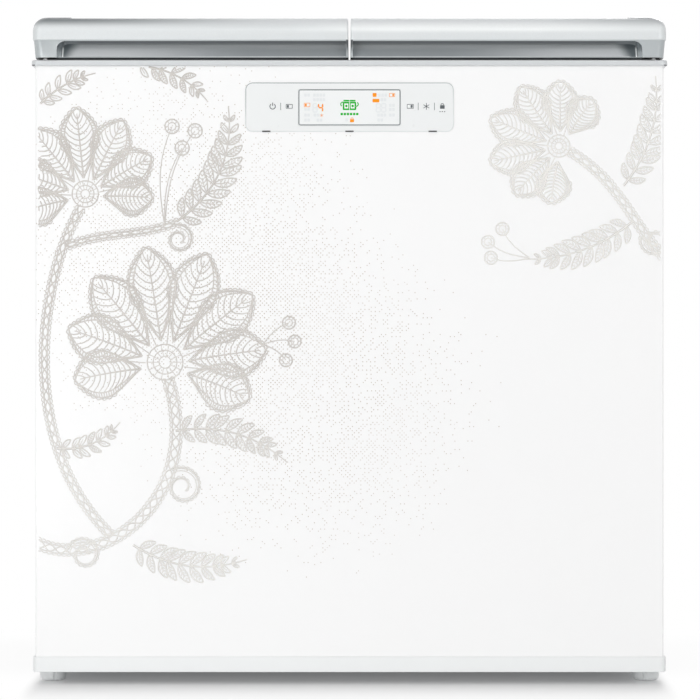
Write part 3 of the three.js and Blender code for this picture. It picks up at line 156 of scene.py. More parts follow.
class Finish:
    """A material in the making: plain values on its shader, and nodes for what changes over the surface."""

    def __init__(self, name, color, roughness, metallic=0.0, **fixed):
        self.material = bpy.data.materials.new(name)
        self.material.use_nodes = True
        self.tree = self.material.node_tree
        self.tree.nodes.clear()
        self.shader = self.add("BsdfPrincipled")
        output = self.add("OutputMaterial")
        self.tree.links.new(self.shader.outputs[0], output.inputs["Surface"])
        self.color = color
        self.set("Base Color", (*color, 1.0))
        self.set("Roughness", roughness)
        self.set("Metallic", metallic)
        for key, value in fixed.items():
            self.set(key.replace("_", " ").title().replace("Ior", "IOR"), value)
        self.place = self.add("TexCoord").outputs["Object"]

    def add(self, kind, settings=None, inputs=None):
        node = self.tree.nodes.new("ShaderNode" + kind)
        for key, value in (settings or {}).items():
            setattr(node, key, value)
        for key, value in (inputs or {}).items():
            self.feed(node.inputs[key], value)
        return node

    def feed(self, socket, item):
        if isinstance(item, Value):
            item = item.socket
        if isinstance(item, bpy.types.NodeSocket):
            self.tree.links.new(item, socket)
        else:
            socket.default_value = item

    def set(self, name, item):
        self.feed(self.shader.inputs[name], item)

    def axes(self):
        """The place on the piece, as three numbers in metres."""
        split = self.add("SeparateXYZ", inputs={"Vector": self.place})
        return [Value(self, split.outputs[i]) for i in range(3)]

    def noise(self, scale, detail=2.0, stretch=None):
        """Cloudy numbers round 0.5, with scale features to the metre."""
        place = self.place
        if stretch:
            place = self.add("Mapping", inputs={"Vector": place, "Scale": stretch}).outputs[0]
        node = self.add("TexNoise", inputs={"Vector": place, "Scale": scale, "Detail": detail})
        return Value(self, node.outputs[0])

    def cells(self, scale, feature="F1"):
        node = self.add("TexVoronoi", {"feature": feature}, {"Vector": self.place, "Scale": scale})
        return Value(self, node.outputs["Distance"])

    def mix(self, factor, first, second):
        """A colour between two, each a colour or the output of another mix."""
        node = self.add("Mix", {"data_type": "RGBA"})
        self.feed(node.inputs[0], factor)
        for place, item in ((6, first), (7, second)):
            self.feed(node.inputs[place], (*item, 1.0) if isinstance(item, tuple) else item)
        return node.outputs[2]

    def tint(self, factor, other):
        self.set("Base Color", self.mix(factor, self.color, other))

    def relief(self, height, depth):
        """Raises the surface by so many millimetres where height is 1."""
        node = self.add("Bump", inputs={"Height": height, "Strength": 1.0, "Distance": depth * MM})
        self.set("Normal", node.outputs[0])

    def clouds(self, scale, detail, amount, factor):
        """Soft patches in which the finish's own colour is deeper."""
        self.tint(self.noise(scale, detail) * amount, shade(self.color, factor))
        return self

    def gloss(self, scale, detail, spread, least):
        """Roughness that varies in soft patches."""
        self.set("Roughness", self.noise(scale, detail) * spread + least)
        return self

    def grain(self, scale, detail, depth):
        """A fine relief, its depth in millimetres."""
        self.relief(self.noise(scale, detail), depth)
        return self


def shade(color, factor):
    return tuple(min(1.0, channel * factor) for channel in color)


def srgb(red, green, blue):
    """A colour as read off a screen, in the shader's linear numbers."""
    def linear(value):
        share = value / 255
        return share / 12.92 if share <= 0.04045 else ((share + 0.055) / 1.055) ** 2.4
    return (linear(red), linear(green), linear(blue))


# ---------- finishes


GLOSS_COAT = {"coat_weight": 0.35, "coat_roughness": 0.12}


def peeled(finish):
    """The faint orange peel of a baked gloss coat."""
    return finish.gloss(7, 2.0, 0.03, 0.28).grain(420, 2.0, 0.006)


def coated_steel(name, color):
    """Steel sheet with a baked gloss coat, the slightest bit cloudy."""
    return peeled(Finish(name, color, 0.29, **GLOSS_COAT).clouds(3.5, 3.0, 0.5, 0.988))


STIPPLE_PITCH = 4.1 * MM
DOT_SMALLEST, DOT_SPREAD = 0.17, 0.10  # a dot's radius, in parts of the pitch
STIPPLE_FIELDS = [  # middle across and up, reach and strength
    (-0.225, 0.600, 0.300, 0.95), (-0.05, 0.40, 0.275, 0.75)]


def printed_steel():
    """The front panel: coated steel with a stipple of small dots in slanting lines round the ornament."""
    base = srgb(251, 251, 251)
    finish = Finish("printed_steel", base, 0.29, **GLOSS_COAT)
    x, _, z = finish.axes()
    along = (x + z) * (math.sqrt(0.5) / STIPPLE_PITCH)
    across = (x - z) * (math.sqrt(0.5) / STIPPLE_PITCH)
    wobble = finish.noise(42, 2.0)
    u, v = along + wobble * 0.8, across + wobble * 0.5
    du, dv = u - u.floor() - 0.5, v - v.floor() - 0.5
    cell = finish.add("CombineXYZ", inputs={0: u.floor(), 1: v.floor()}).outputs[0]
    chance = Value(finish, finish.add("TexWhiteNoise", inputs={"Vector": cell}).outputs["Value"])
    clouds = finish.noise(9, 3.0)
    density = 0.0
    for middle_x, middle_z, reach, strength in STIPPLE_FIELDS:
        away = ((x - middle_x) ** 2.0 + (z - middle_z) ** 2.0).root() / reach
        density = (1.0 - away.eased(0.25, 1.0)) * strength + density
    present = chance.below(density * clouds * 1.35)
    size = chance * DOT_SPREAD + DOT_SMALLEST
    dot = 1.0 - ((du * du + dv * dv).root() - size).eased(-0.05, 0.05)
    ink = finish.mix(clouds.eased(0.35, 0.7), srgb(196, 186, 176), srgb(222, 217, 212))
    cloudy = finish.mix(finish.noise(3.5, 3.0) * 0.5, base, shade(base, 0.99))
    finish.set("Base Color", finish.mix(dot * present * 0.95, cloudy, ink))
    return peeled(finish)


def flaked(finish, tone):
    """Metal flake over a tone, and the faint unevenness of sprayed paint."""
    dark = finish.mix(0.94, (0.0, 0.0, 0.0), tone)
    finish.set("Base Color", finish.mix(finish.cells(1400).eased(0.15, 0.6), tone, dark))
    return finish.gloss(90, 2.0, 0.12, 0.28).grain(700, 1.0, 0.004)


def silver_collar():
    """The collar's silver paint, with painted shade under its two overhanging ends."""
    color = srgb(214, 217, 219)
    finish = Finish("silver_collar", color, 0.34, 0.15, coat_weight=0.25, coat_roughness=0.2)
    x, y, z = finish.axes()
    # painted shade: the lower edge of the collar's two ends, near the front, where they overhang the side
    # panels
    under = x.abs().between(435, 436) * (1.0 - z.between(857.0, 857.8))
    under = under * (1.0 - y.between(-346, -340))
    return flaked(finish, finish.mix(under, color, srgb(96, 97, 102)))


def lid_outside(finish, x, away, z, face, hollow_shade):
    """The lid's outer painted light and shade: painted shade under the crease and along the top, a painted
    highlight across the face, painted shadow near black on the underside, and painted shade down the split
    between the lids.
    """
    # painted shade along the top edge, standing for a dark reflection there: deeper towards the outer ends,
    # most of all on the left
    top_shade_reach = (x * -1.0).between(60, 420) + x.between(230, 470) * 0.5
    edge = finish.mix(top_shade_reach, srgb(226, 229, 231), srgb(122, 128, 131))
    # painted highlight: a light band across the face just under the top edge, strongest right of the middle
    painted_sheen = x.between(-120, 60) * (1.0 - x.between(260, 420) * 0.7)
    upper = finish.mix(painted_sheen * z.between(899, 906), face, srgb(244, 247, 247))
    # painted shade: the face below the crease, which turns downwards, is darker
    tone = finish.mix(z.between(CREASE - 2.0, CREASE - 0.2), srgb(184, 190, 192), upper)
    tone = finish.mix(z.between(908, 920), tone, edge)
    # painted shade: a darker top edge on the right lid's outer rail
    right_rail_shade = z.between(920.4, 922.4) * x.between(375, 392)
    tone = finish.mix(right_rail_shade, tone, srgb(106, 112, 115))
    # painted shadow: the underside near black, for the shadow in the gap over the collar
    tone = finish.mix(z.between(LID_BOTTOM + 0.04, LID_BOTTOM + 0.16), srgb(16, 17, 18), tone)
    # painted shade down the split between the two lids, below the crease
    split = (1.0 - away.between(4.4, 5.0)) * z.between(870, 886)
    return finish.mix(split * (1.0 - z.between(CREASE - 2, CREASE)), tone, hollow_shade)


def lid_recess(finish, x, away, y, z, hollow_shade):
    """The grip recess's painted light and shade: lighter away from the lids' split, painted shade under its
    lip, before its ends and in the pocket behind it, with a painted highlight on each end wall and painted
    light along its lower rim.
    """
    # painted shade: darker towards the lids' split, lighter towards the outer ends
    tone = finish.mix(away.between(120, 345), srgb(166, 172, 175), srgb(222, 226, 228))
    # painted light: an even, lighter tone higher up the back wall
    tone = finish.mix(z.between(877, 885), tone, srgb(208, 212, 214))
    # painted shade under the lip
    tone = finish.mix(z.between(885.2, 888.6), tone, shade(hollow_shade, 1.25))
    # painted shade before each end, reaching further in higher up
    near_end = away + (z - 868 * MM) * 0.5 + x.between(-1, 1) * (5 * MM)
    tone = finish.mix(near_end.between(380, 400), tone, srgb(108, 116, 120))
    # painted light and shade on each end wall: lighter low down, darker higher up
    painted_end_wall = finish.mix(z.between(872, 884), srgb(200, 206, 208), srgb(138, 146, 150))
    tone = finish.mix(away.between(399.0, 400.4), tone, painted_end_wall)
    # painted highlight: a thin upright line on each end wall
    painted_gleam = (1.0 - (away - 397.6 * MM).abs().between(0.5, 1.6)) * (1.0 - z.between(880, 885))
    tone = finish.mix(painted_gleam, tone, srgb(246, 249, 249))
    # painted light: a light strip along the lower rim, stopping short of the ends
    rim = (1.0 - z.between(869, 869.6)) * (1.0 - away.between(386, 390))
    tone = finish.mix(rim, tone, srgb(206, 210, 212))
    # painted shade just under the sill
    tone = finish.mix(z.between(RECESS_SILL - 1.2, RECESS_SILL), srgb(120, 126, 129), tone)
    # painted shade, near black, in the pocket behind the back wall
    behind = (y + 348 * MM) - (z - RECESS_SILL * MM) * 0.695
    pocket_shade = behind.between(1.2, 1.8) * (1.0 - z.between(884, 886))
    return finish.mix(pocket_shade, tone, srgb(40, 42, 44))


def silver_lid():
    """The lids' silver paint, with painted light and shade outside and in the grip recess."""
    # the second colour here is painted shade, used in the lid's recesses and gaps
    face, hollow_shade = srgb(224, 228, 229), srgb(84, 89, 92)
    finish = Finish("silver_lid", face, 0.36, 0.1, coat_weight=0.25, coat_roughness=0.16)
    x, y, z = finish.axes()
    away = x.abs()
    outside = lid_outside(finish, x, away, z, face, hollow_shade)
    recess = lid_recess(finish, x, away, y, z, hollow_shade)
    within = y.between(-354.5, -352.5) * (1.0 - y.between(-331, -330))
    within = within * (1.0 - z.between(893.6, 894.6)) * (1.0 - away.between(406.5, 408))
    return flaked(finish, finish.mix(within, outside, recess))


def zinc_sheet():
    """Galvanised sheet: pale crystals of slightly different tone."""
    color = srgb(176, 181, 184)
    finish = Finish("zinc_sheet", color, 0.42, 0.75)
    crystal = finish.add("TexVoronoi", inputs={"Vector": finish.place, "Scale": 95.0}).outputs["Color"]
    split = finish.add("SeparateColor", inputs={0: crystal})
    tone = Value(finish, split.outputs[0])
    finish.tint(tone, shade(color, 0.92))
    finish.set("Roughness", tone * 0.05 + finish.noise(30, 3.0) * 0.1 + 0.34)
    return finish.grain(260, 3.0, 0.01)


def moulded(name, color, roughness=0.42, grain=900, depth=0.012):
    """Moulded plastic with a fine spark-eroded grain."""
    finish = Finish(name, color, roughness).clouds(6, 3.0, 0.6, 0.96)
    return finish.gloss(75, 2.0, 0.12, roughness - 0.06).grain(grain, 2.0, depth)


def embossed_aluminium():
    """The tubs: anodised sheet with a fine pebbled emboss, faintly wiped along its length."""
    color = srgb(214, 218, 221)
    finish = Finish("embossed_aluminium", color, 0.36, 0.85)
    streaks = finish.noise(7, 4.0, stretch=(1.0, 1.0, 22.0))
    finish.tint(streaks.eased(0.35, 0.8), shade(color, 0.86))
    pebbles = finish.cells(260, "SMOOTH_F1")
    finish.set("Roughness", streaks * 0.18 + 0.27)
    finish.relief(pebbles, 0.12)
    return finish


def copper():
    color = srgb(190, 118, 78)
    finish = Finish("drawn_copper", color, 0.3, 1.0)
    tarnish = finish.noise(28, 4.0)
    finish.tint(tarnish.eased(0.45, 0.75), srgb(120, 78, 56))
    finish.set("Roughness", tarnish * 0.3 + 0.2)
    return finish


def enamel():
    finish = Finish("black_enamel", (0.014, 0.015, 0.017), 0.32, coat_weight=0.4, coat_roughness=0.2)
    return finish.gloss(40, 3.0, 0.2, 0.25).grain(350, 2.0, 0.03)


def rubber(name, color):
    finish = Finish(name, color, 0.7).clouds(25, 3.0, 1.0, 0.88)
    return finish.gloss(120, 2.0, 0.2, 0.6).grain(800, 2.0, 0.02)


def insulation():
    """Rigid foam, under a dark rubber film where it shows along the lids' lower front edge; the film's dark
    tone is painted shade for the gap under the lids.
    """
    color = srgb(232, 219, 178)
    finish = Finish("rigid_foam", color, 0.92)
    _, y, z = finish.axes()
    # painted shade: the covering film is dark so the gap under the lids looks dark
    film = z.between(860, 861) * (1.0 - y.between(-331, -330))
    foam = finish.mix(finish.noise(14, 4.0), color, srgb(205, 184, 132))
    finish.set("Base Color", finish.mix(film, foam, srgb(76, 80, 83)))
    finish.relief(finish.cells(700), 0.3)
    return finish


def board():
    color = srgb(40, 98, 62)
    finish = Finish("circuit_board", color, 0.4)
    finish.tint(finish.cells(320, "DISTANCE_TO_EDGE").below(0.06), srgb(70, 140, 90))
    return finish


def spring_wire():
    return Finish("spring_wire", (0.035, 0.036, 0.038), 0.35, 0.8).gloss(300, 2.0, 0.3, 0.25)


def lens():
    """The display's window: pale, glossy, faintly uneven."""
    finish = Finish("display_lens", srgb(244, 246, 246), 0.12, coat_weight=0.6, coat_roughness=0.04)
    return finish.clouds(20, 2.0, 0.5, 0.975)


def ink(name, color):
    """Printing ink: a hair thicker here and there."""
    return Finish(name, color, 0.45).clouds(220, 3.0, 0.6, 0.93)


def edge_shade_ink():
    """A line of painted shade round the bezel's edge, deeper along the top and the left."""
    # painted shade: the strong tone is the shade along the bezel's edge, the weak one where it fades
    strong, weak = srgb(118, 128, 132), srgb(228, 232, 233)
    finish = Finish("edge_shade_ink", strong, 0.4)
    x, _, z = finish.axes()
    fade = 1.0 - (z * 4.0 - x * 0.6 - 2.95).eased(0.12, 0.42)
    finish.set("Base Color", finish.mix(fade + finish.noise(90, 2.0) * 0.1, strong, weak))
    return finish


def ornament_ink():
    """Grey-beige ink that pales towards the floor and towards the right."""
    strong, weak = srgb(216, 211, 206), srgb(247, 245, 241)
    finish = Finish("ornament_ink", strong, 0.42)
    x, _, z = finish.axes()
    fade = (1.0 - z.eased(0.20, 0.50)) * 0.75 + x.eased(0.0, 0.15) * 0.8
    patches = finish.noise(16, 3.0).eased(0.3, 0.75) * 0.25
    finish.set("Base Color", finish.mix(fade + patches, strong, weak))
    return finish.gloss(200, 2.0, 0.2, 0.32)


def lamp_ink(name, color, glow):
    finish = Finish(name, color, 0.4, specular_ior_level=0.2)
    finish.set("Emission Color", finish.mix(finish.noise(300, 1.0) * 0.4, color, shade(color, 0.85)))
    finish.set("Emission Strength", glow)
    return finish


FINISHES = {
    "white_steel": coated_steel("coated_steel", srgb(250, 250, 250)),
    "printed": printed_steel(),
    "lid_top": moulded("lid_top_white", srgb(243, 245, 245), 0.22, 500, 0.004),
    "silver_lid": silver_lid(),
    "silver_trim": silver_collar(),
    "zinc_steel": zinc_sheet(),
    "spring_steel": spring_wire(),
    "white_plastic": moulded("white_moulding", srgb(243, 245, 245)),
    "bezel": moulded("bezel_white", srgb(241, 243, 243), 0.3, 800, 0.004),
    "grey_plastic": moulded("grey_moulding", srgb(216, 221, 223)),
    "black_plastic": moulded("black_moulding", srgb(42, 44, 46), 0.5),
    "display_lens": lens(),
    "circuit_board": board(),
    "foam": insulation(),
    "tub_aluminium": embossed_aluminium(),
    "copper_tube": copper(),
    "black_enamel": enamel(),
    # partly painted shade: the gasket's grey is darker than a gasket's own, so the gap under the lids reads
    # as shadow
    "seal_rubber": rubber("seal_rubber", srgb(76, 80, 83)),
    "bumper_rubber": rubber("bumper_rubber", srgb(248, 249, 249)),
    "ornament": ornament_ink(),
    "grey_ink": ink("grey_ink", srgb(84, 90, 94)),
    "frame_ink": ink("frame_ink", srgb(124, 132, 136)),
    "edge_shade_ink": edge_shade_ink(),
    "ghost_ink": ink("ghost_ink", srgb(229, 232, 233)),
    "amber_light": lamp_ink("amber_light", srgb(244, 148, 24), 0.08),
    "green_light": lamp_ink("green_light", srgb(10, 176, 36), 0.06),
}


def coat(piece, finish):
    piece.data.materials.clear()
    piece.data.materials.append(FINISHES[finish].material)


OWN_FINISHES = {
    "front_panel": "printed", "display_bezel": "bezel",
    "lid_frame_left": "silver_lid", "lid_frame_right": "silver_lid"}


def dress_nodes():
    """Every CAD node gets the finish of its slot, or one of its own."""
    for node, piece in frame["nodes"].items():
        coat(piece, OWN_FINISHES.get(node, SLOTS[node]))


dress_nodes()


# ---------- modelling helpers


def pick(*pieces):
    bpy.ops.object.select_all(action="DESELECT")
    for piece in pieces:
        piece.select_set(True)
    bpy.context.view_layer.objects.active = pieces[0]


def apply_modifier(piece, kind, **settings):
    pick(piece)
    modifier = piece.modifiers.new(kind.lower(), kind)
    for key, value in settings.items():
        setattr(modifier, key, value)
    bpy.ops.object.modifier_apply(modifier=modifier.name)


def smooth(piece, angle=35):
    pick(piece)
    bpy.ops.object.shade_smooth_by_angle(angle=math.radians(angle))
    apply_modifier(piece, "WEIGHTED_NORMAL", keep_sharp=True)


def eased(piece, width, angle=35):
    """Breaks the sharp edges, and smooths what is between them."""
    apply_modifier(piece, "BEVEL", width=width, segments=2, limit_method="ANGLE",
                   angle_limit=math.radians(angle), miter_outer="MITER_ARC")
    smooth(piece, angle)


def fix_place(piece):
    """Takes the piece's place, turn and scale into its mesh."""
    pick(piece)
    bpy.ops.object.transform_apply(location=True, rotation=True, scale=True)


def settle(piece, body, slot, finish, *nodes):
    """Puts the origin at zero, gives the finish, and lets the piece ride on its body."""
    fix_place(piece)
    coat(piece, finish)
    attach(piece, body)
    if nodes:
        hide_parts(*nodes)


def block(name, low, high):
    """A box between two corners."""
    low, high = Vector(low), Vector(high)
    bpy.ops.mesh.primitive_cube_add(size=1, location=(low + high) / 2)
    piece = bpy.context.object
    piece.name = name
    piece.scale = high - low
    fix_place(piece)
    return piece


def from_lines(name, lines, closed, **settings):
    """A mesh made from lines; each point of a line is its place in millimetres and its radius there."""
    data = bpy.data.curves.new(name, "CURVE")
    for key, value in settings.items():
        setattr(data, key, value)
    for line in lines:
        spline = data.splines.new("POLY")
        spline.use_cyclic_u = closed
        spline.points.add(len(line) - 1)
        for point, (place, radius) in zip(spline.points, line):
            point.co = (*(number * MM for number in place), 1.0)
            point.radius = radius
    piece = bpy.data.objects.new(name, data)
    scene.collection.objects.link(piece)
    pick(piece)
    bpy.ops.object.convert(target="MESH")
    return piece


def joined(name, pieces):
    pick(*pieces)
    bpy.ops.object.join()
    piece = bpy.context.object
    piece.name = name
    return piece


def finer(node, ending, width, body, finish, angle=35, reshape=None):
    """A copy of a CAD node with its points merged, its edges eased and its rounds smooth, in its place."""
    source = frame["nodes"][node]
    piece = bpy.data.objects.new(node + "_" + ending, source.data.copy())
    scene.collection.objects.link(piece)
    pick(piece)
    bpy.ops.object.mode_set(mode="EDIT")
    bpy.ops.mesh.select_all(action="SELECT")
    bpy.ops.mesh.remove_doubles(threshold=0.002 * MM)
    bpy.ops.mesh.dissolve_limited(angle_limit=math.radians(1))
    bpy.ops.object.mode_set(mode="OBJECT")
    if reshape:
        reshape(piece)
    if width:
        eased(piece, width, angle)
    else:
        smooth(piece, angle)
    settle(piece, body, SLOTS[node], finish, node)


# ---------- casing and lids

LID_SIDE = 438.6  # from the middle to the lids' outer sides
LID_ROUNDING = 22.0  # across the outer top edge, as the frame has it
LID_LEAN = 0.154  # how far forward the lid's lower front leans for each millimetre up
SHOULDER_START = 395.0  # what lies further in than this keeps its place
SHOULDER = [  # height, and how far in from the side the edge lies there
    (901.9, 0.0), (907.4, 0.2), (912.5, 1.5), (916.4, 3.6),
    (919.5, 6.5), (921.7, 8.8), (923.2, 10.6), (924.0, 11.6)]


def draw_shoulder_out(piece):
    """Fills the lid's outer top edge out sideways, where the real one is fuller than a quarter circle."""
    for vertex in piece.data.vertices:
        across, height = abs(vertex.co.x) / MM, vertex.co.z / MM
        if across < SHOULDER_START or height < SHOULDER[0][0]:
            continue
        share = min(1.0, (height - RAIL_TOP + LID_ROUNDING) / LID_ROUNDING)
        outer = LID_SIDE - LID_ROUNDING * (1 - math.sqrt(1 - share * share))
        low = max(i for i, row in enumerate(SHOULDER[:-1]) if row[0] <= height)
        (low_z, low_inset), (high_z, high_inset) = SHOULDER[low], SHOULDER[low + 1]
        inset = low_inset + (high_inset - low_inset) * (height - low_z) / (high_z - low_z)
        wanted, there = LID_SIDE - inset - SHOULDER_START, outer - SHOULDER_START
        fuller = SHOULDER_START + (across - SHOULDER_START) * wanted / there
        vertex.co.x *= fuller / across


GRIP_CORNER = [  # the grip recess's outer corner on the lid's front: its points, and where they ought to be
    ((400.45, 889.3), (393.5, 889.3)), ((400.9, 889.0), (400.0, 887.0)),
    ((403.93, 884.46), (403.9, 882.8)), ((405.0, 879.1), (405.0, 876.0))]
GRIP_MOUTH = -355.4  # in front of this lies the lid's front face
SAME_POINT = 0.1  # how near a point has to lie to one of those


def draw_corner_in(piece):
    """Gives the mouth of the grip recess the real one's wide, round outer corner."""
    for vertex in piece.data.vertices:
        across, height = abs(vertex.co.x) / MM, vertex.co.z / MM
        if vertex.co.y > GRIP_MOUTH * MM:
            continue
        for (old_across, old_height), (new_across, new_height) in GRIP_CORNER:
            if math.hypot(across - old_across, height - old_height) > SAME_POINT:
                continue
            vertex.co.x *= new_across / across
            vertex.co.z = new_height * MM
            vertex.co.y -= (new_height - old_height) * MM * LID_LEAN


def shape_surround(piece):
    """What the real lid surround has fuller or rounder than the frame."""
    draw_shoulder_out(piece)
    draw_corner_in(piece)


for side in SIDES:
    lid = "lid_" + side
    finer("lid_frame_" + side, "moulding", 0.5 * MM, lid, "silver_lid", 32, reshape=shape_surround)
    finer("lid_top_panel_" + side, "sheet", 0.4 * MM, lid, "lid_top")
    finer("lid_liner_" + side, "moulding", 0.6 * MM, lid, "white_plastic")
    finer("lid_gasket_" + side, "bellows", 0, lid, "seal_rubber")
    finer("tub_" + side, "pressing", 0, "cabinet", "tub_aluminium", 40)
    finer("foot_" + side, "moulding", 0.3 * MM, "foot_" + side, "white_plastic", 40)
    finer("rear_spacer_" + side, "moulding", 0.6 * MM, "cabinet", "grey_plastic", 50)
    finer("side_panel_" + side, "sheet", 0.25 * MM, "cabinet", "white_steel")
finer("top_collar", "moulding", 0.25 * MM, "cabinet", "silver_trim", 40)
finer("kick_strip", "moulding", 0.3 * MM, "cabinet", "white_plastic", 50)
finer("display_bezel", "moulding", 0.2 * MM, "cabinet", "bezel", 40)
finer("front_panel", "sheet", 0.3 * MM, "cabinet", "printed", 40)
finer("back_panel", "sheet", 0, "cabinet", "zinc_steel", 30)


# ---------- ornament on the front panel
# Drawn in millimetres on the panel, x to the right and z up, as complex numbers.

SIDE_MARGIN, FOOT_MARGIN, TOP_MARGIN = 3.5, 4, 1.5  # between the ornament and the panel's edges
LEAF_STEPS = 26  # along a leaf or petal
TURN_STEPS = 26  # in a full turn of a tendril
strokes = []


def stroke(points, width, end_width=None):
    """Adds a line of ink, cut off at the panel's margins."""
    low_x, high_x = PANEL_LOW.x / MM + SIDE_MARGIN, PANEL_HIGH.x / MM - SIDE_MARGIN
    low_z, high_z = PANEL_LOW.z / MM + FOOT_MARGIN, COLLAR_LOW.z / MM - TOP_MARGIN
    run = []
    last = width if end_width is None else end_width
    for i, point in enumerate(points):
        inside = low_x < point.real < high_x and low_z < point.imag < high_z
        if inside:
            share = i / max(1, len(points) - 1)
            run.append((point, width + (last - width) * share))
        if run and (not inside or i == len(points) - 1):
            if len(run) > 1:
                strokes.append(run)
            run = []


def bezier(a, b, c, d, steps):
    shares = [i / steps for i in range(steps + 1)]
    return [(1 - t) ** 3 * a + 3 * (1 - t) ** 2 * t * b + 3 * (1 - t) * t * t * c + t ** 3 * d
            for t in shares]


def bowed(root, tip, bend, steps):
    """A line that bends to its left by a share of its length."""
    span = tip - root
    side = 1j * span * bend
    return bezier(root, root + span / 3 + side, root + span * 2 / 3 + side, tip, steps)


def evenly(points, spacing):
    """Points at equal steps along a line."""
    lengths = [abs(b - a) for a, b in zip(points, points[1:])]
    total = sum(lengths)
    count = max(2, round(total / spacing))
    result, walked, i = [], 0.0, 0
    for k in range(count + 1):
        goal = total * k / count
        while i < len(lengths) - 1 and walked + lengths[i] < goal:
            walked += lengths[i]
            i += 1
        share = 0 if lengths[i] == 0 else (goal - walked) / lengths[i]
        result.append(points[i] + (points[i + 1] - points[i]) * share)
    return result


def headings(points):
    """Which way a line runs at each of its points."""
    steps = [b - a for a, b in zip([points[0], *points], [*points[1:], points[-1]])]
    return [step / (abs(step) or 1) for step in steps]


def beside(points, distances):
    """A line at a distance to the left of another."""
    if not isinstance(distances, list):
        distances = [distances] * len(points)
    return [p + 1j * h * d for p, h, d in zip(points, headings(points), distances)]


def circle(centre, radius, width, steps=14):
    stroke([centre + cmath.rect(radius, 2 * math.pi * i / steps) for i in range(steps + 1)], width)


def picots(points, size, width):
    """A row of small loops to the left of a line."""
    marks = evenly(points, size * 1.9)
    for a, b in zip(marks, marks[1:]):
        middle, half = (a + b) / 2, (b - a) / 2
        stroke([middle + half * cmath.rect(1, math.pi * (1 + i / 5)) * -1 for i in range(6)][::-1], width)


BRAID_STEP, BRAID_CROSSING = 3.0, 15.0  # between a stem's points, and from one crossing to the next
STRAND = 1.7  # a strand's own width


def braid(points, width):
    """A stem: two strands that cross each other between two edges."""
    marks = evenly(points, BRAID_STEP)
    for phase in (0, math.pi):
        turns = [phase + BRAID_STEP * i * math.pi / BRAID_CROSSING for i in range(len(marks))]
        swing = [width * 0.42 * math.sin(turn) for turn in turns]
        stroke(beside(marks, swing), STRAND)
    for edge in (-0.5, 0.5):
        rail = beside(marks, width * edge)
        stroke(rail, STRAND * 0.9)
        picots(rail if edge > 0 else rail[::-1], 3.6, STRAND * 0.75)


def blade(root, tip, width, bend, fullness):
    """A leaf's or petal's middle line and half widths; a fullness over 1 widens it towards its tip."""
    middle = bowed(root, tip, bend, LEAF_STEPS)
    shares = [i / LEAF_STEPS for i in range(1, LEAF_STEPS)]
    halves = [width / 2 * math.sin(math.pi * share ** fullness) ** 0.8 for share in shares]
    return middle, [0.0, *halves, 0.0]


def petal(root, tip, width, bend):
    """A petal with a looped edge, a hem inside it and a net of veins."""
    middle, halves = blade(root, tip, width, bend, 1.35)
    for hand in (1, -1):
        edge = beside(middle, [hand * h for h in halves])
        inner = beside(middle, [hand * h * 0.78 for h in halves])
        stroke(edge, 2.3)
        picots(edge[11:] if hand > 0 else edge[:10:-1], 3.8, 1.5)
        stroke(inner[3:LEAF_STEPS], 1.6)
        for k in range(4, LEAF_STEPS, 1 if width > 34 else 2):
            stroke([edge[k], inner[k]], 1.4)
        for k in range(2, LEAF_STEPS - 3, 2):
            a, b = middle[k], inner[min(k + 4, LEAF_STEPS - 1)]
            span = b - a
            bow = 1j * span * 0.1 * hand
            stroke([a, a + span * 0.3 + bow, a + span * 0.65 + bow, b], 1.8, 1.3)
    stroke(middle[:LEAF_STEPS - 1], 2.4, 1.3)


def frond(root, tip, bend, pairs, reach):
    """A fern: leaflets in pairs on a bowed stem, shorter towards the tip."""
    stem = evenly(bowed(root, tip, bend, 30), abs(tip - root) / (pairs * 3))
    ways = headings(stem)
    stroke(stem, 3.2, 1.5)
    for k in range(pairs):
        i = 2 + round(k * (len(stem) - 4) / pairs)
        share = k / pairs
        size = max(9, reach * (1 - share) ** 0.6 * min(1, 0.55 + 0.9 * share))
        for hand in (1, -1):
            end = stem[i] + ways[i] * cmath.rect(size, hand * math.radians(52 - 14 * share))
            middle, halves = blade(stem[i], end, size * 0.36, 0.10 * hand, 1.0)
            for edge_hand in (1, -1):
                edge = beside(middle, [edge_hand * h for h in halves])
                stroke(edge[::2], 1.8)
                if size > 20:
                    for j in range(7, 20, 4):
                        stroke([middle[j], middle[j + 3] + (edge[j + 3] - middle[j + 3]) * 0.8], 1.2)
            stroke(middle[2:20:3], 1.5, 1.1)


def tendril(root, heading, size, turns, hand):
    """A coil that tightens towards its end, edged with loops."""
    points, place, way = [root], root, cmath.rect(1, math.radians(heading))
    steps = int(TURN_STEPS * turns)
    for i in range(steps):
        radius = size * (1 - 0.8 * i / steps)
        place += way * radius * 2 * math.pi / TURN_STEPS
        way *= cmath.rect(1, hand * 2 * math.pi / TURN_STEPS)
        points.append(place)
    stroke(points, 2.4, 1.3)
    gap = hand * min(4.2, 0.12 * size + 2)
    inner = beside(points, [gap * (1 - i / len(points)) for i in range(len(points))])
    stroke(inner, 1.2)
    for k in range(1, len(points) - 6, 2):
        stroke([points[k], inner[k]], 1.0)
    picots(points[::-1] if hand > 0 else points, 3.4, 1.2)


def berries(root, places, radius):
    """Round berries with a seed ring, each on its bowed stalk."""
    for place in places:
        bow = (place - root) * 0.5 + 1j * (place - root) * 0.12
        stroke(bezier(root, root + bow * 0.6, root + bow * 1.2, place, 10), 1.6, 1.2)
        circle(place, radius, 1.8)
        circle(place, radius * 0.55, 1.2, 10)
        for k in range(8):
            way = cmath.rect(1, k * math.pi / 4)
            stroke([place + way * radius * 0.55, place + way * radius], 1.0)


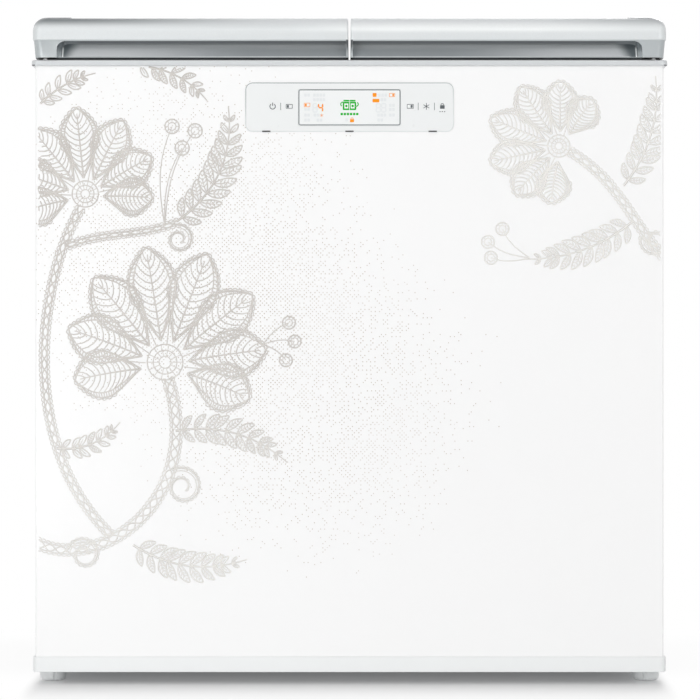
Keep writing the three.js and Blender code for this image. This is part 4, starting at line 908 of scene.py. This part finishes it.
def bloom(root, heading, size, count, spread):
    """A flower seen from the side: a fan of netted petals round a seed head."""
    for k in range(count):
        turn = (k - (count - 1) / 2) * spread / (count - 1)
        way = cmath.rect(1, math.radians(heading + turn))
        length = size * (1 - 0.24 * abs(turn / spread * 2) ** 1.5)
        width = size * 0.74 * math.radians(spread / (count - 1))
        petal(root + way * size * 0.20, root + way * length, width, -0.05 * turn / spread)
    for k in range(count - 1):
        turn = (k + 0.5 - (count - 1) / 2) * spread / (count - 1)
        way = cmath.rect(1, math.radians(heading + turn))
        tip = root + way * size * 0.40
        stroke([root + way * size * 0.16, tip], 1.4)
        circle(tip + way * size * 0.022, size * 0.022, 1.2, 8)
    heart = root + cmath.rect(1, math.radians(heading)) * size * 0.02
    for k, radius in enumerate((0.15, 0.10, 0.05)):
        circle(heart, size * radius, 1.7 - 0.2 * k, 18)
    for k in range(14):
        way = cmath.rect(size, k * math.pi / 7)
        stroke([heart + way * 0.05, heart + way * 0.15], 1.0)


def draw_left():
    main = bezier(-436 + 196j, -350 + 150j, -196 + 250j, -252 + 424j, 40)
    braid(main, 11)
    bloom(-256 + 442j, 84, 166, 8, 212)
    upper = bezier(-330 + 205j, -462 + 330j, -432 + 560j, -372 + 660j, 40)
    braid(upper, 8)
    bloom(-366 + 676j, 96, 122, 7, 196)
    branch = bezier(-392 + 606j, -340 + 628j, -290 + 618j, -236 + 640j, 24)
    braid(branch, 6)
    frond(-240 + 640j, -168 + 800j, -0.20, 11, 50)
    frond(-241 + 350j, -86 + 306j, 0.16, 10, 42)
    frond(-300 + 192j, -142 + 172j, -0.16, 10, 44)
    frond(-406 + 326j, -318 + 362j, -0.18, 7, 30)
    frond(-300 + 856j, -196 + 806j, 0.16, 7, 34)
    frond(-432 + 800j, -352 + 846j, 0.10, 6, 30)
    tendril(-246 + 296j, 20, 27, 1.55, -1)
    tendril(-392 + 182j, 70, 24, 1.5, -1)
    tendril(-238 + 636j, -8, 20, 1.5, -1)
    berries(-256 + 634j, [-232 + 742j, -214 + 766j, -246 + 772j], 10)
    berries(-120 + 470j, [-84 + 500j, -76 + 474j, -88 + 448j], 9)


def draw_right():
    main = bezier(436 + 590j, 390 + 640j, 372 + 700j, 304 + 738j, 30)
    braid(main, 8)
    bloom(292 + 744j, 158, 104, 7, 206)
    frond(392 + 640j, 244 + 588j, 0.12, 10, 44)
    frond(380 + 690j, 424 + 842j, -0.14, 10, 44)
    tendril(404 + 620j, 262, 20, 1.5, 1)
    berries(250 + 590j, [212 + 630j, 192 + 612j, 196 + 590j], 9)


BAND_FLATNESS, BAND_PROUD = 0.14, 0.02 * MM  # and how far its middle stands before the panel


def print_ornament(name, draw):
    """The strokes as thin bands of ink, flattened where they lie on the panel."""
    strokes.clear()
    draw()
    lines = [[((place.real, 0.0, place.imag), width) for place, width in run] for run in strokes]
    piece = from_lines(name, lines, False, dimensions="3D", bevel_depth=0.5 * MM, bevel_resolution=0,
                       use_fill_caps=True)
    piece.scale.y = BAND_FLATNESS
    piece.location.y = PANEL_FACE - BAND_PROUD
    settle(piece, "cabinet", "grey_plastic", "ornament")


print_ornament("ornament_left", draw_left)
print_ornament("ornament_right", draw_right)


# ---------- control panel


INK_THICKNESS, INK_SUNK = 0.08 * MM, 0.01 * MM  # of a plate, and how deep its back lies in the face


def flat_mark(name, outlines, face, finish):
    """Closed outlines in millimetres, as plates of ink on a face."""
    lines = [[((place.real, place.imag, 0.0), 1.0) for place in outline] for outline in outlines]
    piece = from_lines(name, lines, True, dimensions="2D", fill_mode="BOTH", extrude=INK_THICKNESS / 2)
    piece.rotation_euler.x = math.pi / 2
    piece.location.y = face - INK_THICKNESS / 2 + INK_SUNK
    settle(piece, "cabinet", "grey_plastic", finish)


def bar(a, b, width):
    """A straight line of some width."""
    side = 1j * (b - a) / abs(b - a) * width / 2
    return [a + side, b + side, b - side, a - side]


def disc(centre, radius, steps=20):
    return [centre + cmath.rect(radius, 2 * math.pi * i / steps) for i in range(steps)]


def arc_band(centre, radius, width, start, end, steps=18):
    angles = [math.radians(start + (end - start) * i / steps) for i in range(steps + 1)]
    outer = [centre + cmath.rect(radius + width / 2, a) for a in angles]
    inner = [centre + cmath.rect(radius - width / 2, a) for a in angles]
    return outer + inner[::-1]


def rounded(centre, width, height, radius, steps=5):
    result = []
    for k, (sx, sy) in enumerate(((1, 1), (-1, 1), (-1, -1), (1, -1))):
        corner = centre + complex(sx * (width / 2 - radius), sy * (height / 2 - radius))
        result += [corner + cmath.rect(radius, math.pi / 2 * (k + i / steps)) for i in range(steps + 1)]
    return result


def border(centre, width, height, radius, line):
    """A rounded frame: its outer outline and its hole."""
    return [rounded(centre, width, height, radius),
            rounded(centre, width - 2 * line, height - 2 * line, max(radius - line, 0.05))]


SEGMENTS = {"a": (0, 1, 0), "b": (1, 0.5, 1), "c": (1, -0.5, 1), "d": (0, -1, 0), "e": (-1, -0.5, 1),
            "f": (-1, 0.5, 1), "g": (0, 0, 0)}
DIGITS = {"4": "bcfg", "8": "abcdefg"}


def digit(centre, figure, height, line):
    """A figure of the seven-bar kind."""
    width = height * 0.5
    outlines = []
    for key in DIGITS[figure]:
        sx, sy, upright = SEGMENTS[key]
        middle = centre + complex(sx * width / 2, sy * height / 2)
        half = (height / 2 if upright else width) / 2 - line * 0.55
        way = 1j if upright else 1
        side = 1j * way * line / 2
        point = way * line / 2
        low_end, high_end = middle - way * half, middle + way * half
        outlines.append([low_end - point, low_end + side, high_end + side,
                         high_end + point, high_end - side, low_end - side])
    return outlines


def power_mark(centre, size):
    line = size * 0.13
    return [arc_band(centre, size * 0.42, line, 125, 415),
            bar(centre + 0.08j * size, centre + 0.58j * size, line)]


def flake_mark(centre, size):
    outlines = []
    for k in range(3):
        way = cmath.rect(size / 2, math.pi * k / 3 + math.pi / 6)
        outlines.append(bar(centre - way, centre + way, size * 0.09))
    return outlines


def lock_mark(centre, size):
    return [rounded(centre - 0.16j * size, size * 0.72, size * 0.56, size * 0.08),
            arc_band(centre + 0.14j * size, size * 0.22, size * 0.11, 0, 180)]


def level_mark(centre, size, filled):
    """A tub in outline, filled to one side or the other."""
    outlines = border(centre, size, size * 0.66, size * 0.08, size * 0.08)
    outlines.append(rounded(centre + filled * size * 0.2, size * 0.3, size * 0.4, size * 0.04))
    return outlines


# middles of the display window and of the bezel; the marks' places count from them
WINDOW = complex((WINDOW_LOW.x + WINDOW_HIGH.x) / 2, (WINDOW_LOW.z + WINDOW_HIGH.z) / 2) / MM
BEZEL = complex((BEZEL_LOW.x + BEZEL_HIGH.x) / 2, (BEZEL_LOW.z + BEZEL_HIGH.z) / 2) / MM
GHOSTS = [  # places in the display window of marks that are not lit, and how many signs each has
    (-58.8 + 17.1j, 2), (-58.8 - 2.5j, 2), (-58.8 - 10.6j, 2), (-58.8 - 17.6j, 2), (-42.0 + 17.1j, 4),
    (-42.0 + 10.6j, 4), (-45.8 - 10.6j, 2), (-41.6 - 17.6j, 2), (-3.9 - 17.2j, 1), (45.8 + 17.1j, 3),
    (47.0 + 10.6j, 2), (44.7 - 10.6j, 3), (42.6 - 17.6j, 2), (58.8 + 2.9j, 2), (58.8 - 2.9j, 2),
    (58.8 - 10.6j, 2)]


def divider(place):
    """The upright line between two keys."""
    return bar(place - 4.2j, place + 6.0j, 0.7)


def print_keys():
    """The touch keys' signs, with lines between them, and a line of painted shade round the bezel's edge."""
    keys = []
    keys += power_mark(BEZEL - 106.5 + 1.0j, 9.0) + [divider(BEZEL - 95.3)]
    keys += level_mark(BEZEL - 83.5 + 1.0j, 9.4, -1)
    keys += level_mark(BEZEL + 84.2 + 1.0j, 9.4, 1) + [divider(BEZEL + 95.2)]
    keys += flake_mark(BEZEL + 106.5 + 1.0j, 9.4) + [divider(BEZEL + 117.7)]
    keys += lock_mark(BEZEL + 128.6 + 1.6j, 9.0)
    keys += [disc(BEZEL + (128.6 + 3.2 * k) - 6.2j, 0.8) for k in (-1, 0, 1)]
    flat_mark("key_marks", keys, BEZEL_LOW.y, "grey_ink")
    width, height = (BEZEL_HIGH.x - BEZEL_LOW.x) / MM, (BEZEL_HIGH.z - BEZEL_LOW.z) / MM
    # painted shade: a thin line round the bezel's edge
    outline = border(BEZEL, width - 1.0, height - 1.0, 9.5, 0.8)
    flat_mark("bezel_edge_shade_line", outline, BEZEL_LOW.y, "edge_shade_ink")


def unlit_marks():
    marks = []
    for place in (-47.7, 39.9, 47.5):
        marks += digit(WINDOW + place - 0.6j, "8", 11.5, 1.6)
    for place, signs in GHOSTS:
        for k in range(signs):
            marks.append(rounded(WINDOW + place + (k - (signs - 1) / 2) * 4.4, 3.6, 4.2, 0.7))
    return marks


def amber_marks():
    marks = digit(WINDOW - 40.1 - 0.4j, "4", 11.0, 2.0)
    marks += flake_mark(WINDOW - 38.6 - 11.0j, 5.0)
    marks += level_mark(WINDOW - 58.8 + 3.4j, 8.6, -1)
    marks += lock_mark(WINDOW + 3.5 - 17.2j, 7.6)
    marks += [rounded(WINDOW + 34.8 + 17.3j, 5.4, 5.4, 0.9), rounded(WINDOW + 36.6 + 9.4j, 9.4, 4.8, 0.9)]
    return marks + level_mark(WINDOW + 59.0 + 17.2j, 8.0, 1)


def green_marks():
    """Two tubs side by side with a handle each, over a row of dots."""
    marks = []
    for hand in (-1, 1):
        marks += border(WINDOW + hand * 4.4 + 2.0j, 9.8, 11.4, 1.4, 2.2)
        marks.append(rounded(WINDOW + hand * 4.3 + 9.3j, 8.2, 2.2, 0.8))
        marks.append(disc(WINDOW + hand * 4.4 + 2.0j, 1.7))
        start = -100 if hand > 0 else 80
        marks.append(arc_band(WINDOW + hand * 9.2 + 4.4j, 2.9, 1.5, start, start + 160))
    for k in range(6):
        marks.append(rounded(WINDOW + (k - 2.5) * 4.3 - 9.2j, 3.4, 3.2, 0.9))
    return marks


def print_controls():
    face = WINDOW_LOW.y
    width, height = (WINDOW_HIGH.x - WINDOW_LOW.x) / MM, (WINDOW_HIGH.z - WINDOW_LOW.z) / MM
    flat_mark("window_frame_line", border(WINDOW, width, height, 2.5, 1.2), face, "frame_ink")
    print_keys()
    flat_mark("display_ghosts", unlit_marks(), face, "ghost_ink")
    flat_mark("display_amber", amber_marks(), face, "amber_light")
    flat_mark("display_green", green_marks(), face, "green_light")


print_controls()


NOTCHES = (-115.3, 0.0, 115.3)  # across, in millimetres
PLUG_HALF, PLUG_TOP = 5.7 * MM, 1.65 * MM  # half its width, and its top above the bezel's lower edge
PLUG_PROUD, PLUG_GAP = 0.12 * MM, 0.05 * MM


def notch_shade_plugs():
    """Dark plugs in the three notches of the bezel's lower edge, standing proud of its face as painted shade
    for the notches' depth.
    """
    plugs = []
    # painted shade: a dark plate in each notch
    for x in NOTCHES:
        low = (x * MM - PLUG_HALF, BEZEL_LOW.y - PLUG_PROUD, BEZEL_LOW.z + PLUG_GAP)
        high = (x * MM + PLUG_HALF, PANEL_FACE - PLUG_GAP, BEZEL_LOW.z + PLUG_TOP)
        plugs.append(block("plug", low, high))
    piece = joined("bezel_notch_shade_plugs", plugs)
    eased(piece, 0.15 * MM)
    settle(piece, "cabinet", "black_plastic", "black_plastic")


notch_shade_plugs()


# ---------- screws


def screw(place, heading, radius, height):
    """A pan-head screw with a cross recess; heading is the way its head looks."""
    bpy.ops.mesh.primitive_cylinder_add(vertices=20, radius=radius, depth=height, location=(0, 0, height / 2))
    head = bpy.context.object
    head.name = "screw"
    apply_modifier(head, "BEVEL", width=height * 0.45, segments=3,
                   limit_method="ANGLE", angle_limit=math.radians(60))
    for turn in (0, math.pi / 2):
        bpy.ops.mesh.primitive_cube_add(size=1, location=(0, 0, height))
        slot = bpy.context.object
        slot.scale = (radius * 1.15, radius * 0.26, height * 0.9)
        slot.rotation_euler.z = turn
        fix_place(slot)
        apply_modifier(head, "BOOLEAN", object=slot, operation="DIFFERENCE", solver="EXACT")
        bpy.data.objects.remove(slot)
    head.rotation_euler = Vector(heading).to_track_quat("Z", "Y").to_euler()
    head.location = place
    fix_place(head)
    smooth(head)
    return head


def copies(piece, moves):
    """Copies of the piece, moved; the piece itself goes."""
    made = []
    for move in moves:
        other = bpy.data.objects.new(piece.name, piece.data.copy())
        scene.collection.objects.link(other)
        other.location = move
        fix_place(other)
        made.append(other)
    bpy.data.objects.remove(piece)
    return made


# heights of the screws at the back, in millimetres
CASING_SCREWS = (250, 400, 550, 700, 840)  # down both sides of the back panel
COVER_SCREWS = (48, 200)  # down both sides of the machine cover
ROW_SCREWS = (203, 842)  # in two rows across, at the places below
ROW_PLACES = (-220, 0, 220)


def rear_screws():
    model = screw((0, COVER_FACE, 0), (0, 1, 0), 3.9 * MM, 2.2 * MM)
    places = []
    for hand in (-1, 1):
        places += [(hand * (PANEL_HIGH.x - 8 * MM), 0, z * MM) for z in CASING_SCREWS]
        places += [(hand * (PANEL_HIGH.x - 10 * MM), 0, z * MM) for z in COVER_SCREWS]
    for x in ROW_PLACES:
        places += [(x * MM, 0, z * MM) for z in ROW_SCREWS]
    piece = joined("rear_screws", copies(model, places))
    settle(piece, "cabinet", "zinc_steel", "zinc_steel")


rear_screws()

BRACKET_PLATE = 3 * MM
BRACKET_SCREW_ASIDE, ARM_SCREW_ASIDE = 32 * MM, 20 * MM  # from the hinge's middle
BRACKET_SCREW_BACK = 335 * MM
ARM_SCREW_IN, ARM_SCREW_UP = 2.5 * MM, 2.6 * MM  # from the arm's front and from its lower edge


def screw_pair(name, model, middle, aside, back, body):
    """Two screws, one to each side of a hinge's middle."""
    places = [(middle + hand * aside, back, 0) for hand in (-1, 1)]
    settle(joined(name, copies(model, places)), body, "zinc_steel", "zinc_steel")


def hinge_screws():
    for side, place in HINGES:
        bracket_low, bracket_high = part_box(f"hinge_bracket_{side}_{place}")
        model = screw((0, 0, bracket_low.z + BRACKET_PLATE), (0, 0, 1), 2.4 * MM, 1.5 * MM)
        middle = (bracket_low.x + bracket_high.x) / 2
        screw_pair(f"bracket_screws_{side}_{place}", model, middle, BRACKET_SCREW_ASIDE,
                   BRACKET_SCREW_BACK, "cabinet")
        arm_low, arm_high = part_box(f"hinge_arm_{side}_{place}")
        model = screw((0, arm_low.y + ARM_SCREW_IN, arm_low.z + ARM_SCREW_UP), (0, 1, 0), 2.0 * MM, 1.1 * MM)
        middle = (arm_low.x + arm_high.x) / 2
        screw_pair(f"arm_screws_{side}_{place}", model, middle, ARM_SCREW_ASIDE, 0, "lid_" + side)


hinge_screws()


# ---------- floor, background and light

FLOOR_TONE = 0.9
HALF_WIDTH, HALF_DEPTH = 0.425, 0.34  # what the shadow on the floor keeps to
SIDEWAYS_FADE = 10.0  # how much sooner the shadow ends at the sides than in front
SHADOW_FULL, SHADOW_END = 0.005, 0.24  # how far beyond those halves it is whole, and where it is gone
DEEP_WITHIN = 0.12  # of the object's middle, where the shadow is deepest
PLAIN_UNDER, PLAIN_DEEP = 0.16, 0.06  # plain white's share at the object's edges and under its middle


def lay_floor():
    """A pale floor that keeps the shadow near the object and is plain white further off."""
    bpy.ops.mesh.primitive_circle_add(vertices=96, radius=14, fill_type="NGON", location=(0, 0, 0))
    floor = bpy.context.object
    floor.name = "floor"
    finish = Finish("floor", (FLOOR_TONE,) * 3, 0.35, specular_ior_level=0.3)
    x, y, _ = finish.axes()
    beyond_x = (x.abs() - HALF_WIDTH).math("MAXIMUM", 0.0) * SIDEWAYS_FADE
    beyond_y = (y.abs() - HALF_DEPTH).math("MAXIMUM", 0.0)
    far = ((beyond_x * beyond_x) + (beyond_y * beyond_y)).root().eased(SHADOW_FULL, SHADOW_END)
    deep = 1.0 - y.abs().eased(DEEP_WITHIN, HALF_DEPTH)
    paths = finish.add("LightPath").outputs
    seen = Value(finish, paths["Is Camera Ray"]) + Value(finish, paths["Is Glossy Ray"])
    seen = seen + Value(finish, paths["Is Transmission Ray"])
    white = finish.add("Emission", inputs={"Color": (1, 1, 1, 1), "Strength": 1.0})
    output = next(n for n in finish.tree.nodes if n.type == "OUTPUT_MATERIAL")
    blend = finish.add("MixShader")
    plain = far * (1.0 - PLAIN_UNDER) + PLAIN_UNDER - deep * (PLAIN_UNDER - PLAIN_DEEP)
    finish.feed(blend.inputs[0], seen * plain)
    finish.tree.links.new(finish.shader.outputs[0], blend.inputs[1])
    finish.tree.links.new(white.outputs[0], blend.inputs[2])
    finish.tree.links.new(blend.outputs[0], output.inputs["Surface"])
    floor.data.materials.append(finish.material)


lay_floor()


def light_world(level):
    """Soft light from all round, behind which the camera and the gloss see plain white."""
    world = bpy.data.worlds.new("studio")
    scene.world = world
    world.use_nodes = True
    nodes, links = world.node_tree.nodes, world.node_tree.links
    nodes.clear()
    paths = nodes.new("ShaderNodeLightPath")
    soft, white = nodes.new("ShaderNodeBackground"), nodes.new("ShaderNodeBackground")
    soft.inputs["Strength"].default_value = level
    soft.inputs["Color"].default_value = (1, 1, 1, 1)
    white.inputs["Color"].default_value = (1, 1, 1, 1)
    white.inputs["Strength"].default_value = 1.0
    seen = nodes.new("ShaderNodeMixShader")
    shown = paths.outputs["Is Camera Ray"]
    for kind in ("Is Glossy Ray", "Is Transmission Ray"):
        either = nodes.new("ShaderNodeMath")
        either.operation = "MAXIMUM"
        links.new(shown, either.inputs[0])
        links.new(paths.outputs[kind], either.inputs[1])
        shown = either.outputs[0]
    links.new(shown, seen.inputs[0])
    links.new(soft.outputs[0], seen.inputs[1])
    links.new(white.outputs[0], seen.inputs[2])
    output = nodes.new("ShaderNodeOutputWorld")
    links.new(seen.outputs[0], output.inputs["Surface"])


def add_lamp(name, place, target, size, power):
    bpy.ops.object.light_add(type="AREA", location=place)
    lamp = bpy.context.object
    lamp.name = name
    lamp.data.shape = "RECTANGLE"
    lamp.data.size, lamp.data.size_y = size
    lamp.data.energy = power
    lamp.rotation_euler = (Vector(target) - Vector(place)).to_track_quat("-Z", "Y").to_euler()


light_world(0.5)
add_lamp("key", (-2.0, -3.4, 2.3), (0, 0, 0.5), (2.4, 2.0), 17)
add_lamp("fill", (2.4, -3.2, 0.8), (0, 0, 0.4), (2.0, 1.4), 18)
add_lamp("low", (-1.8, -3.2, 0.2), (-0.2, 0, 0.15), (2.0, 0.3), 24)
add_lamp("strip", (0.6, -3.5, 2.3), (0, 0, 0.5), (3.2, 0.6), 10)
add_lamp("rear", (0.5, 3.2, 2.6), (0, 0, 0.6), (2.4, 1.6), 38)
